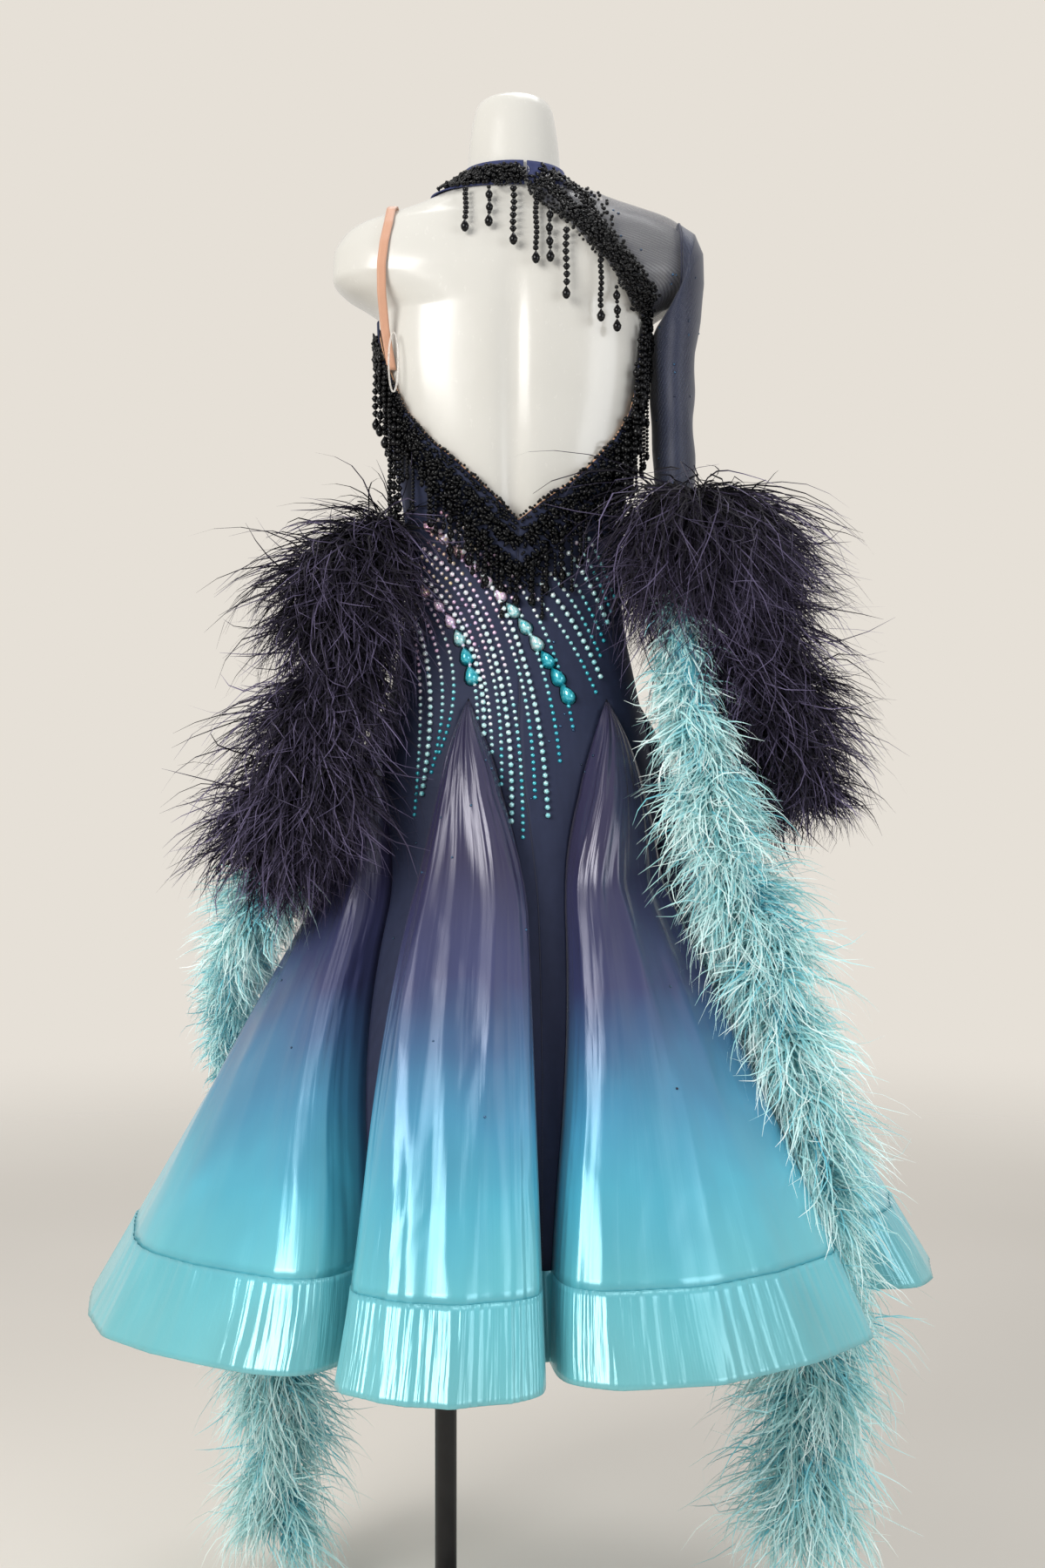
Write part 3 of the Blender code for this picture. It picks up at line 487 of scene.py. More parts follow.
# Creases of a godet: how many across and down its cut, strength, depth
CREASES = [(6.5, 0.8, 0.4, 0.012), (17.0, 1.1, 0.2, 0.005), (4.5, 2.6, 0.45, 0.014)]


def crepe_finish(name, colour):
    material, tree, shader = new_material(name)
    point = object_point(tree)
    tone = noise(tree, stretched(tree, point, (40, 40, 8)), 3.0, 4.0)
    darker = tuple(0.82 * part for part in srgb(colour)[:3]) + (1,)
    colour_by(tree, shader, tone, (0.25, darker), (0.75, colour))
    set_finish(shader, roughness=0.62, sheen_weight=0.2, sheen_roughness=0.4, ior=1.3,
               sheen_tint=srgb("#6f78b0"))
    add_bump(tree, shader, ribs(tree, point, "Z", Scale=420.0, Distortion=1.5, Detail=2.0), 0.2, 0.0004)
    add_bump(tree, shader, noise(tree, stretched(tree, point, (9, 9, 22)), 2.0, 3.0), 0.35, 0.004)
    return material


DRIFT = 0.09  # how far the dip-dyed shade wanders up and down
GATHERED = [(80, 0.8, 0.4, 0.004)]


def satin_finish(name, creases, scale, detail, rough=0.5, warp=0.0):
    material, tree, shader = new_material(name)
    point, flat = object_point(tree), uv_point(tree)
    height = node(tree, "ShaderNodeSeparateXYZ", {"Vector": point}).outputs["Z"]
    drift = noise(tree, stretched(tree, point, (7, 7, 1.5)), 1.5, 3.0)
    summed = worked(tree, "ADD", height, worked(tree, "MULTIPLY", drift, DRIFT))
    share = remap(tree, summed, OMBRE_LOW + DRIFT / 2, OMBRE_HIGH + DRIFT / 2, 0.0, 1.0)
    shade = ramp(tree, share, [((z - OMBRE_LOW) / (OMBRE_HIGH - OMBRE_LOW), code) for z, code in OMBRE])
    streak = remap(tree, noise(tree, stretched(tree, point, (5, 5, 2)), 2.0, 2.0), 0.3, 0.7, 0.88, 1.08)
    tinted = node(tree, "ShaderNodeVectorMath", {0: shade, "Scale": streak}, operation="SCALE")
    tree.links.new(tinted.outputs["Vector"], shader.inputs["Base Color"])
    set_finish(shader, roughness=0.25, metallic=0.16, anisotropic=0.75, anisotropic_rotation=0.25,
               sheen_weight=0.08, sheen_roughness=0.4, ior=1.72)
    tangent = node(tree, "ShaderNodeTangent", direction_type="UV_MAP", uv_map="UVMap")
    tree.links.new(tangent.outputs["Tangent"], shader.inputs["Tangent"])
    add_bump(tree, shader, noise(tree, stretched(tree, flat, (700, 260, 1)), 1.0, 1.0), 0.1, 0.0003)
    add_bump(tree, shader, noise(tree, stretched(tree, flat, (260, 5, 1)), 1.0, 2.0), 0.14, 0.0006)
    for across, down, strength, distance in creases:
        crease = noise(tree, stretched(tree, flat, (across, down, 1)), scale, detail, rough, warp)
        add_bump(tree, shader, crease, strength, distance)
    return material


CREPE, COLLAR_CREPE = crepe_finish("navy_crepe_cloth", NAVY), crepe_finish("navy_collar_cloth", COLLAR_NAVY)
SATIN = satin_finish("ombre_satin_cloth", CREASES, 1.5, 1.5, 0.4, 0.6)
BAND_SATIN = satin_finish("hem_satin_cloth", GATHERED, 1.0, 2.0)

# %% [markdown]
# ## The cut of the skirt
# Each godet is a long triangle let into a slit, so its cloth stands out from the strips of body beside it.
# The table gives the angles of its two edges, which the strips share.

# %% Sizes of the cut
APEX_Z, BAND_Z, HEM_Z = 1.125, 0.552, 0.475
FLARE_Z, FLARE_RADIUS = 1.05, 0.1
CREPE_THICK, SATIN_THICK, MESH_THICK, BAND_THICK = 0.0015, 0.001, 0.0008, 0.0018
CENTRE_BACK, SEAM_IN_STRIP = 4.0, 0.3
NECKLINE_Z = 1.555
UPPER_EDGE_AT, EDGE_EASE = 0.22, 0.18
VALLEY = 0.36
FOLD_STEEPNESS, FOLD_FULLNESS, FOLD_GROWTH = 0.93, 0.52, 0.78
HIP_Z, FLARE_BLEND = 0.88, 0.028  # below the hip the cloth keeps the hip's outline
EDGE_TUCK, CREST_DIP = 0.0012, 0.004  # the edges are sewn under the body cloth; the crest's middle dips
# Lesser folds on a crest: height, how many across, how far they lean, shift
FOLDS = [(0.0105, 1.9, 0.11, 0), (0.007, 3.4, -0.17, 0.3), (0.003, 6.7, 0.29, 0)]
FOLD_LEVEL, FULL_FOLD_WIDTH = 0.008, 0.16

# Godets: name, apex, edges a fifth of the way down, edges at the band, crest, next valley, phase of folds
GODETS = [
    ("a", -80.0, -97.0, -62.0, -92.0, -23.5, 0.478, 0.36, 0.4),
    ("b", -28.0, -36.0, 5.0, -22.0, 4.5, 0.49, 0.36, 2.1),
    ("c", 54.7, 23.0, 62.0, 5.6, 60.0, 0.465, 0.29, 3.9),
    ("d", 95.0, 80.0, 110.0, 76.0, 116.0, 0.48, 0.36, 5.2),
    ("e", 132.0, 122.0, 142.0, 120.0, 158.0, 0.475, 0.36, 0.9),
    ("f", 172.0, 160.0, 184.0, 161.0, 201.0, 0.475, 0.36, 2.8),
    ("g", 212.0, 200.0, 224.0, 205.0, 226.0, 0.475, 0.29, 4.4),
    ("h", 248.0, 238.0, 256.0, 238.0, 265.0, 0.475, 0.36, 1.7),
]
TOP_EDGE = np.array([
    (-90.0, 1.555), (-86.0, 1.55), (-80.0, 1.535), (-69.0, 1.488), (-62.5, 1.447), (-50.0, 1.41),
    (-29.0, 1.371), (-8.0, 1.338), (4.0, 1.322), (10.0, 1.328), (20.0, 1.34), (38.0, 1.362),
    (48.0, 1.381), (60.6, 1.415), (68.0, 1.445), (71.0, 1.483), (72.5, NECKLINE_Z), (280.0, NECKLINE_Z),
])

# %% Points of the skirt
def godet_edge(index, side, share):
    """The angle of an edge of a godet, with the bend of its slit eased over EDGE_EASE of its length."""
    row = GODETS[index]
    near = [np.interp(share + off * EDGE_EASE, (0, UPPER_EDGE_AT, 1), (row[1], row[2 + side], row[4 + side]))
            for off in np.linspace(-1, 1, 9)]
    return near[4] + (sum(near) / 9 - near[4]) * np.clip(share / EDGE_EASE, 0, 1)


def strip_radius(angle, height, valley):
    """Distance of the body's cloth from the axis: the form's, until the skirt flares past it."""
    flare = FLARE_RADIUS + (valley - FLARE_RADIUS) * (FLARE_Z - height) / (FLARE_Z - HEM_Z)
    return smooth_max(form_radius(angle, np.maximum(height, HIP_Z), EASE), flare, FLARE_BLEND)


def ridge(place):
    """A row of soft crests, one for each whole number."""
    return (1 - np.abs(np.sin(np.pi * place))) ** 1.4


def share_down(height):
    return (APEX_Z - height) / (APEX_Z - BAND_Z)


def godet_points(index, across, height):
    """Points of a godet for across from 0 to 1 between its edges, with a few lesser folds on its crest."""
    share = share_down(height)
    start, end = godet_edge(index, 0, share), godet_edge(index, 1, share)
    crest, after, phase = GODETS[index][6:9]
    before = GODETS[index - 1][7]
    angle = start + (end - start) * (across - FOLD_STEEPNESS * np.sin(2 * np.pi * across) / (2 * np.pi))
    low_start = strip_radius(start, height, before) - EDGE_TUCK
    low_end = strip_radius(end, height, after) - EDGE_TUCK
    low = low_start + (low_end - low_start) * across
    depth = (crest - VALLEY) * np.minimum(np.maximum(share, 0), 1.15) ** FOLD_GROWTH
    lobe = np.maximum(np.sin(np.pi * across), 0.0) ** FOLD_FULLNESS
    high = np.maximum(low_start, low_end) + depth
    width = np.radians(end - start) * high
    window = np.sin(np.pi * across) ** 2
    lean = phase + 0.9 * np.sin(2.0 * height * 3 + phase)
    folds = sum(tall * ridge(many * across + drift * lean + shift) for tall, many, drift, shift in FOLDS)
    folds = (folds - FOLD_LEVEL) * window * np.minimum(width / FULL_FOLD_WIDTH, 1.0)
    folds = folds * np.clip(share * 3.0, 0, 1)
    return polar(angle, low + (high - low) * lobe + folds - CREST_DIP * window * np.clip(share, 0, 1), height)


# %% Body panels
STRIP_STEPS, BODY_STEPS, SKIRT_STEPS = 14, 36, 40
# Panels: the strips of each, between a godet and the next; None is the centre back seam. Then the flat cut
PANELS = {
    "body_back_left": ([(0, 1), (1, None)], (0.2, 0.86)),
    "body_back_right": ([(None, 2), (2, 3)], (0.24, 0.86)),
    "body_front": ([(3, 4), (4, 5), (5, 6), (6, 7), (7, 0)], (0.58, 1.02)),
}


def back_seam(share):
    start, end = godet_edge(1, 1, share), godet_edge(2, 0, share)
    part = np.clip(share / UPPER_EDGE_AT, 0, 1)
    return CENTRE_BACK + part * (start + SEAM_IN_STRIP * (end - start) - CENTRE_BACK)


def strip_work(strip):
    before, after = strip
    valley = GODETS[1 if before is None else before][7]

    def place(u, v):
        down = (1 - v) * (BODY_STEPS + SKIRT_STEPS)
        share = np.clip((down - BODY_STEPS) / SKIRT_STEPS, 0, 1)
        start = back_seam(share) if before is None else godet_edge(before, 1, share)
        end = back_seam(share) if after is None else godet_edge(after, 0, share)
        end = np.where(end < start - 180, end + 360, end)
        angle = start + (end - start) * u
        top = np.interp(np.where(angle > 280.5, angle - 360, angle), TOP_EDGE[:, 0], TOP_EDGE[:, 1])
        above = top + (APEX_Z - top) * np.clip(down / BODY_STEPS, 0, 1)
        height = np.where(down <= BODY_STEPS, above, APEX_Z + (BAND_Z - APEX_Z) * share)
        return polar(angle, strip_radius(angle, height, valley), height)

    return bent_grid(STRIP_STEPS, BODY_STEPS + SKIRT_STEPS, place)


for name, (strips, (width, length)) in PANELS.items():
    panel_work = joined([strip_work(strip) for strip in strips])
    panel, area = add_cloth(name + "_cloth", panel_work, CREPE, [name], CREPE_THICK, SEAM_MERGE)

# %% [markdown]
# ## Godets and hem band
# A godet could be one flat wedge with a cloth simulation, but its crest and folds are known, so its grid is
# bent straight to them. The hem band repeats that outline below the seam, with a short gather every few
# millimetres, over stiff crinoline.

# %% Godets
GODET_STEPS = (88, 56)
GODET_TIP = 0.004  # the tip starts this far below the end of its slit


def make_godet(index):
    name = "godet_" + GODETS[index][0]

    def place(u, v):
        height = APEX_Z - GODET_TIP + (BAND_Z - APEX_Z + GODET_TIP) * (1 - v)
        return godet_points(index, u, height)

    work = bent_grid(*GODET_STEPS, place)
    piece, area = add_cloth(name + "_satin", work, SATIN, [name], SATIN_THICK)


# %% Hem bands
BAND_STEPS = (200, 14)
BAND_SIDE = 0.06  # the share of a band at each of its ends that lies under the body's strips
GATHERS, GATHER_DEPTH = 52, 0.0009
BAND_LAP, BAND_OUT = 0.0015, 0.0012  # the band laps over the seam
BAND_ROLL, ROLL_HEIGHT = 0.001, 0.003  # and rolls at it


def band_ends(index):
    here, before, after = GODETS[index], GODETS[index - 1], GODETS[(index + 1) % len(GODETS)]
    start, end = here[4], here[5]
    low = (before[5] - (360 if before[5] > start + 180 else 0) + start) / 2
    high = (after[4] + (360 if after[4] < end - 180 else 0) + end) / 2
    return low, start, end, high


def make_band(index):
    name = "hem_band_" + GODETS[index][0]
    low, start, end, high = band_ends(index)
    before, after = GODETS[index - 1][7], GODETS[index][7]

    def place(u, v):
        height = BAND_Z + BAND_LAP + (HEM_Z - BAND_Z - BAND_LAP) * (1 - v)
        middle = godet_points(index, np.clip((u - BAND_SIDE) / (1 - 2 * BAND_SIDE), 0, 1), height)
        left = low + (start - low) * np.clip(u / BAND_SIDE, 0, 1)
        right = end + (high - end) * np.clip((u - 1 + BAND_SIDE) / BAND_SIDE, 0, 1)
        left_point = polar(left, strip_radius(left, height, before), height)
        right_point = polar(right, strip_radius(right, height, after), height)
        at_right = (u > 1 - BAND_SIDE)[:, None]
        point = np.where((u < BAND_SIDE)[:, None], left_point, np.where(at_right, right_point, middle))
        wave = np.cos(2 * np.pi * GATHERS * u + 1.5 * np.sin(23 * u)) * (0.6 + 0.4 * np.sin(57 * u))
        seam_roll = BAND_ROLL * np.exp(-((height - BAND_Z) / ROLL_HEIGHT) ** 2)
        out = BAND_OUT + seam_roll + GATHER_DEPTH * wave * (0.35 + 0.65 * v)
        return point + unit(point * (1, 1, 0)) * out[:, None]

    work = bent_grid(*BAND_STEPS, place)
    piece, area = add_cloth(name + "_satin", work, BAND_SATIN, [name], BAND_THICK)


for index in range(len(GODETS)):
    make_godet(index)
    make_band(index)

# %% [markdown]
# ## Collar, yoke and sleeve
# The yoke and the sleeve are two layers of sheer net. Where one layer lies over the other the threads
# beat together. Two real layers would need threads too fine to render, so the finish multiplies a bent
# wave by a noise, and lets more or less light through, for that watered look.

# %% Sheer net
def net_finish(name, thin, dense):
    """Sheer net whose coverage runs from thin to dense with the watered pattern."""
    material, tree, shader = new_material(name)
    point = uv_point(tree)
    bent = ribs(tree, point, "DIAGONAL", Scale=24.0, Distortion=2.2, Detail=1.0, Detail_Scale=0.6)
    watered = worked(tree, "MULTIPLY", bent, noise(tree, stretched(tree, point, (3, 5, 1)), 2.0, 2.0))
    colour_by(tree, shader, watered, (0.1, "#22283f"), (0.6, "#353d57"))
    tree.links.new(remap(tree, watered, 0.0, 0.7, dense, thin), shader.inputs["Alpha"])
    set_finish(shader, roughness=0.55, sheen_weight=0.3)
    add_bump(tree, shader, noise(tree, stretched(tree, point, (320, 320, 1)), 1.0, 1.0), 0.25, 0.0003)
    return material


YOKE_NET, SLEEVE_NET = net_finish("yoke_sheer_net", 0.22, 0.38), net_finish("sleeve_sheer_net", 0.58, 0.8)

# %% Collar
COLLAR_TOP, COLLAR_BOTTOM, COLLAR_ENDS = 1.727, 1.698, (11.0, 15.0)
COLLAR_ROLL, ROLL_SHARE = 0.0006, 0.12  # its two edges roll out
COLLAR_STEPS = (120, 8)


def make_collar():
    start, end = COLLAR_ENDS[1], COLLAR_ENDS[0] + 360

    def place(u, v):
        height = COLLAR_BOTTOM + (COLLAR_TOP - COLLAR_BOTTOM) * v
        edge = 1 - np.clip(np.minimum(v, 1 - v) / ROLL_SHARE, 0, 1)
        return on_form(start + (end - start) * u, height, COLLAR_EASE + COLLAR_ROLL * edge)

    work = bent_grid(*COLLAR_STEPS, place)
    piece, _ = add_cloth("collar_band", work, COLLAR_CREPE, ["collar"], CREPE_THICK)


make_collar()

# %% Yoke
YOKE_EDGE = np.array([
    (1.5553, 70.5), (1.571, 60.0), (1.584, 54.5), (1.605, 49.0), (1.625, 43.0), (1.649, 37.0),
    (1.668, 28.0), (1.683, 20.0), (1.6955, 14.0),
])
ARMHOLE_X = 0.187
YOKE_STEPS = (60, 48)


def make_yoke():
    def place(u, v):
        height = YOKE_EDGE[0, 0] + (YOKE_EDGE[-1, 0] - YOKE_EDGE[0, 0]) * v
        edge = np.interp(height, YOKE_EDGE[:, 0], YOKE_EDGE[:, 1])
        return on_form(edge + (180 - 2 * edge) * u, height, YOKE_EASE)

    work = bent_grid(*YOKE_STEPS, place)
    bmesh.ops.bisect_plane(work, geom=work.verts[:] + work.edges[:] + work.faces[:],
                           plane_co=(ARMHOLE_X, 0, 0), plane_no=(1, 0, 0), clear_outer=True)
    piece, area = add_cloth("yoke_net", work, YOKE_NET, ["yoke_right"], MESH_THICK)


make_yoke()

# %% Sleeve
ARM_MIDDLE_Z = 1.626
# Below the armhole: x and z under the arm, x and z over it, half width front to back
SLEEVE = np.array([
    (0.185, 1.57, 0.206, 1.656, 0.076), (0.1715, 1.56, 0.2165, 1.633, 0.074),
    (0.161, 1.548, 0.218, 1.6, 0.066), (0.156, 1.535, 0.214, 1.56, 0.058),
    (0.155, 1.512, 0.208, 1.522, 0.052), (0.1575, 1.45, 0.206, 1.45, 0.047),
    (0.161, 1.38, 0.208, 1.38, 0.042), (0.164, 1.32, 0.207, 1.32, 0.038),
])
SLEEVE_GRID = (72, 96)
CREASE_DEPTH, ARM_X = 0.0009, 0.188


def armhole_ring(turns):
    """Points of the yoke's edge at the armhole, for directions about the arm's middle."""
    def outside(angle):
        return on_form(angle, height, YOKE_EASE)[:, 0] > ARMHOLE_X

    height = np.linspace(YOKE_EDGE[1, 0], YOKE_EDGE[-2, 0], 120)
    height = height[outside(90.0)]
    found = []
    for near in (50.0, 130.0):
        low, high = np.full(len(height), near), np.full(len(height), 90.0)
        for _ in range(24):
            middle = (low + high) / 2
            beyond = outside(middle)
            low, high = np.where(beyond, low, middle), np.where(beyond, middle, high)
        found.append(on_form(high, height, YOKE_EASE))
    points = np.concatenate(found)
    way = np.arctan2(points[:, 1], ARM_MIDDLE_Z - points[:, 2])
    order = np.argsort(way)
    way, points = way[order], points[order]
    ring = [np.interp(turns, way, points[:, axis], period=2 * np.pi) for axis in range(3)]
    ring[0] = np.full(len(turns), ARMHOLE_X + 0.001)
    return np.stack(ring, axis=-1)


def sleeve_ring(row, turns):
    under, over = np.array((row[0], 0, row[1])), np.array((row[2], 0, row[3]))
    middle, reach = (under + over) / 2, (over - under) / 2
    return middle - np.cos(turns)[:, None] * reach + np.sin(turns)[:, None] * np.array((0, row[4], 0))


def make_sleeve():
    columns, rows = SLEEVE_GRID
    turns = np.linspace(0, 2 * np.pi, columns + 1)
    rings = np.array([armhole_ring(turns)] + [sleeve_ring(row, turns) for row in SLEEVE])
    middles = rings.mean(axis=1)
    length = walked(middles)

    def place(u, v):
        along, column = (1 - v) * length[-1], np.rint(u * columns).astype(int)
        point = np.empty((len(u), 3))
        for k in range(columns + 1):
            point[column == k] = at_distance(rings[:, k], length, along[column == k])
        share, turn = along / length[-1], 2 * np.pi * u
        creases = np.sin(9 * np.pi * share + 2.4 * np.sin(turn)) + 0.6 * np.sin(23 * share + 3 * turn)
        out = unit(point - at_distance(middles, length, along))
        return point + out * (creases * CREASE_DEPTH * np.sin(np.pi * share))[:, None]

    work = bent_grid(columns, rows, place, outward=lambda centre: centre - Vector((ARM_X, 0, centre.z)))
    piece, area = add_cloth("sleeve_net", work, SLEEVE_NET, ["sleeve_right"], MESH_THICK,
                            SEAM_MERGE)


make_sleeve()

# %% [markdown]
# ## Strap
# A nude elastic tape over the bare shoulder keeps the open side up. A curve with a flat bevel would twist
# on the way over, so it is a grid bent along its route, which keeps its width level from end to end.

# %% Ribbed tape
def tape_finish(name, scale, low, high, rough, sheen, strength, depth):
    material, tree, shader = new_material(name)
    rib = ribs(tree, uv_point(tree), "Y", Scale=scale)
    # The colour follows the rib bump, darker where it is low: painted shade in the grooves between the ribs
    colour_by(tree, shader, rib, low, high)
    set_finish(shader, roughness=rough, sheen_weight=sheen)
    add_bump(tree, shader, rib, strength, depth)
    return material


# %% The strap
STRAP_STEPS = (4, 120)
STRAP_WIDTH, STRAP_THICK = 0.01, 0.0012
STRAP = np.array([
    (-0.136, -0.056, 1.493), (-0.143, -0.0665, 1.535), (-0.146, -0.08, 1.575), (-0.146, -0.084, 1.605),
    (-0.143, -0.079, 1.632), (-0.139, -0.07, 1.655), (-0.137, -0.054, 1.675), (-0.136, -0.03, 1.6842),
    (-0.136, -0.005, 1.6867), (-0.136, 0.026, 1.6845), (-0.137, 0.048, 1.669), (-0.139, 0.056, 1.648),
    (-0.143, 0.07, 1.62), (-0.143, 0.08, 1.59), (-0.14, 0.086, 1.562),
])


def make_strap():
    def place(u, v):
        middle = along_route(STRAP, v)
        middle[:, 0] += (u - 0.5) * STRAP_WIDTH
        return middle

    nude = tape_finish("nude_elastic", 160.0, (0.1, "#b98469"), (0.9, "#d6a586"), 0.45, 0.4, 0.4, 0.0003)
    work = bent_grid(*STRAP_STEPS, place)
    piece, area = add_cloth("strap_tape", work, nude, ["strap_left"], STRAP_THICK)
    print("strap length", round(area / STRAP_WIDTH, 3))


make_strap()

# %% [markdown]
# ## Seams and small fittings
# A dark cord of thread marks the back seam and the armhole. The neckline is bound inside with a narrow
# peach tape that shows at the V. A clear elastic loop joins the strap to the bodice, and a small steel
# hook closes the collar. Each cord is a thin closed tube, because a line of bump wouldn't stand proud.

# %% Lines of thread
SEAM_THREAD = tape_finish("seam_thread", 90.0, (0.2, "#171a2b"), (0.8, "#262b45"), 0.7, 0.2, 0.3, 0.0002)
THREAD_MERGE = 1e-6
BACK_THREAD, ARMHOLE_THREAD = 0.0007, 0.0013  # radius of each


def tube_grid(path, sides, aside, radius):
    """A tube along a path, with radius(v) at shares v of it; aside is a way that the path never takes."""
    tangent = unit(np.gradient(path, axis=0))
    one = unit(np.cross(tangent, aside))
    other = np.cross(tangent, one)

    def place(u, v):
        ring, turn = np.rint(v * (len(path) - 1)).astype(int), 2 * np.pi * u
        rim = np.cos(turn)[:, None] * one[ring] + np.sin(turn)[:, None] * other[ring]
        return path[ring] + np.reshape(radius(v), (-1, 1)) * rim

    return bent_grid(sides, len(path) - 1, place)


def make_cord(name, path, radius, material, sides=6):
    """A closed round cord along a path."""
    work = closed(tube_grid(path, sides, (0.31, 0.2, 0.93), lambda v: radius), THREAD_MERGE)
    return add_piece(name, to_mesh(work, name), material)


def back_seam_path():
    height = np.linspace(1.318, BAND_Z + 0.004, 160)
    angle = back_seam(np.maximum(share_down(height), 0))
    return polar(angle, strip_radius(angle, height, GODETS[1][7]) - 0.0002, height)


make_cord("back_seam_thread", back_seam_path(), BACK_THREAD, SEAM_THREAD)
armhole = armhole_ring(np.linspace(0, 2 * np.pi, 121)) - (0.0005, 0, 0)
make_cord("armhole_seam_thread", armhole, ARMHOLE_THREAD, SEAM_THREAD)
print("two lines of thread")

# %% Peach binding inside the open back
BINDING_WIDE, BINDING_THICK, BINDING_STEPS = 0.011, 0.0008, (260, 3)
BINDING_ENDS, BINDING_ABOVE, BINDING_GAP = (-84.0, 71.0), 0.0012, 0.0003


def make_binding():
    first, last = BINDING_ENDS

    def place(u, v):
        angle = first + (last - first) * u
        height = np.interp(angle, TOP_EDGE[:, 0], TOP_EDGE[:, 1]) + BINDING_ABOVE - BINDING_WIDE * (1 - v)
        return polar(angle, strip_radius(angle, height, VALLEY) - CREPE_THICK - BINDING_GAP, height)

    peach = tape_finish("peach_binding", 90.0, (0.2, "#c98f62"), (0.8, "#e2b189"), 0.6, 0.2, 0.3, 0.0002)
    work = bent_grid(*BINDING_STEPS, place)
    piece, _ = add_cloth("back_binding", work, peach, (), BINDING_THICK)


make_binding()

# %% Clear loop and collar hook
CLEAR = mottled("clear_elastic", 200.0, 2.0, (0.3, "#cfc9c0"), (0.7, "#eeebe6"),
                roughness=0.12, alpha=0.45)[0]
STEEL = mottled("steel_hook", 500.0, 2.0, (0.3, "#8f8f92"), (0.7, "#c2c2c6"),
                roughness=0.25, metallic=1.0)[0]


def oval(centre, wide, tall, way, count=40):
    """A closed oval in the plane of the vertical and a level way."""
    turn = np.linspace(0, 2 * np.pi, count)[:, None]
    return np.array(centre) + np.cos(turn) * wide * np.array(way) + np.sin(turn) * (0, 0, tall)


loop = oval((-0.1335, -0.07, 1.499), 0.006, 0.033, (0.92, -0.39, 0))
make_cord("strap_clear_loop", loop, 0.0012, CLEAR)
hook = oval((0.0148, -0.0592, 1.7165), 0.0026, 0.004, (1, 0, 0), 20)
make_cord("collar_hook", hook, 0.0005, STEEL, 5)
print("fittings made")

# %% [markdown]
# ## Beads from one shape
# Thousands of beads are cheap as one joined mesh: one low shape is copied by array maths, each copy with
# its own place, axes and size. A bead is an icosphere, a marquise is the same ball pulled long, and a cut
# stone is a short cone on a flat base.

# %% Shapes and copies
UP = np.array((0, 0, 1.0))
DOWN = -UP


def arrays_of(work):
    """Corners and triangles of a bmesh, the triangles in one order, so that each run gives the same mesh."""
    bmesh.ops.triangulate(work, faces=work.faces[:])
    work.verts.ensure_lookup_table()
    corners = np.array([vert.co for vert in work.verts])
    faces = np.array(sorted([vert.index for vert in face.verts] for face in work.faces))
    work.free()
    return corners, faces


def ball():
    work = bmesh.new()
    bmesh.ops.create_icosphere(work, subdivisions=1, radius=0.5)
    return work


def bead(around, rings, width_at):
    """A bead one unit wide, made narrower or wider by its height."""
    work = bmesh.new()
    bmesh.ops.create_uvsphere(work, u_segments=around, v_segments=rings, radius=0.5)
    for vert in work.verts:
        width = width_at(vert.co.z)
        vert.co.x *= width
        vert.co.y *= width
    return work


def even(z):
    return 1


def faceted(z):
    """Narrow above and below the middle, so that two cones stand base to base."""
    return 0.72 if abs(z) > 0.1 else 1


def tear(z):
    """Drawn out to a point at the top."""
    return 1 - 0.8 * (z / 0.5) ** 1.1 if z > 0 else 1


def cone(sides, base, table, tall):
    """A cone cut off at the top, on a flat base in the plane."""
    work = bmesh.new()
    bmesh.ops.create_cone(work, cap_ends=True, segments=sides, radius1=base, radius2=table, depth=tall)
    bmesh.ops.translate(work, verts=work.verts[:], vec=(0, 0, tall / 2))
    return work


def drop_stone(base=0.33, crown=0.07, pointed=0.68, drawn_out=1.9):
    """A faceted drop, one unit long, with its point up and a low crown."""
    work = cone(12, base, 0.17, 0.3)
    table = max(work.faces, key=lambda face: face.calc_center_median().z)
    bmesh.ops.poke(work, faces=[table])["verts"][0].co.z += crown
    for vert in work.verts:
        if vert.co.y > 0:
            vert.co.x *= 1 - pointed * min(vert.co.y / base, 1) ** 1.8
            vert.co.y *= drawn_out
    return work


BALL, CUT_STONE, DROP_STONE = arrays_of(ball()), arrays_of(cone(8, 0.5, 0.26, 0.34)), arrays_of(drop_stone())
BEAD, FACETED, TEAR = arrays_of(bead(8, 6, even)), arrays_of(bead(7, 4, faceted)), arrays_of(bead(8, 6, tear))
print("faces of a bead, a stone and a drop", len(BALL[1]), len(CUT_STONE[1]), len(DROP_STONE[1]))

# %% Copies joined in one mesh
def numbered(faces, count, corners):
    """The faces of one shape, numbered for each of its copies."""
    return (faces[None] + (np.arange(count) * corners)[:, None, None]).reshape(-1, 3)


def copies(shape, places, along, out, sizes):
    """Corners and faces of copies of a shape: its Y runs along, its Z points out; sizes are x, y, z."""
    corners, faces = shape
    places = np.atleast_2d(places)
    out = unit(np.broadcast_to(out, places.shape))
    along = unit(along - out * np.sum(along * out, axis=1, keepdims=True))
    sizes = np.broadcast_to(sizes, places.shape)[..., None]
    axes = np.stack([np.cross(along, out), along, out], axis=1) * sizes
    points = np.einsum("kc,ncd->nkd", corners, axes) + places[:, None, :]
    return points.reshape(-1, 3), numbered(faces, len(places), len(corners))


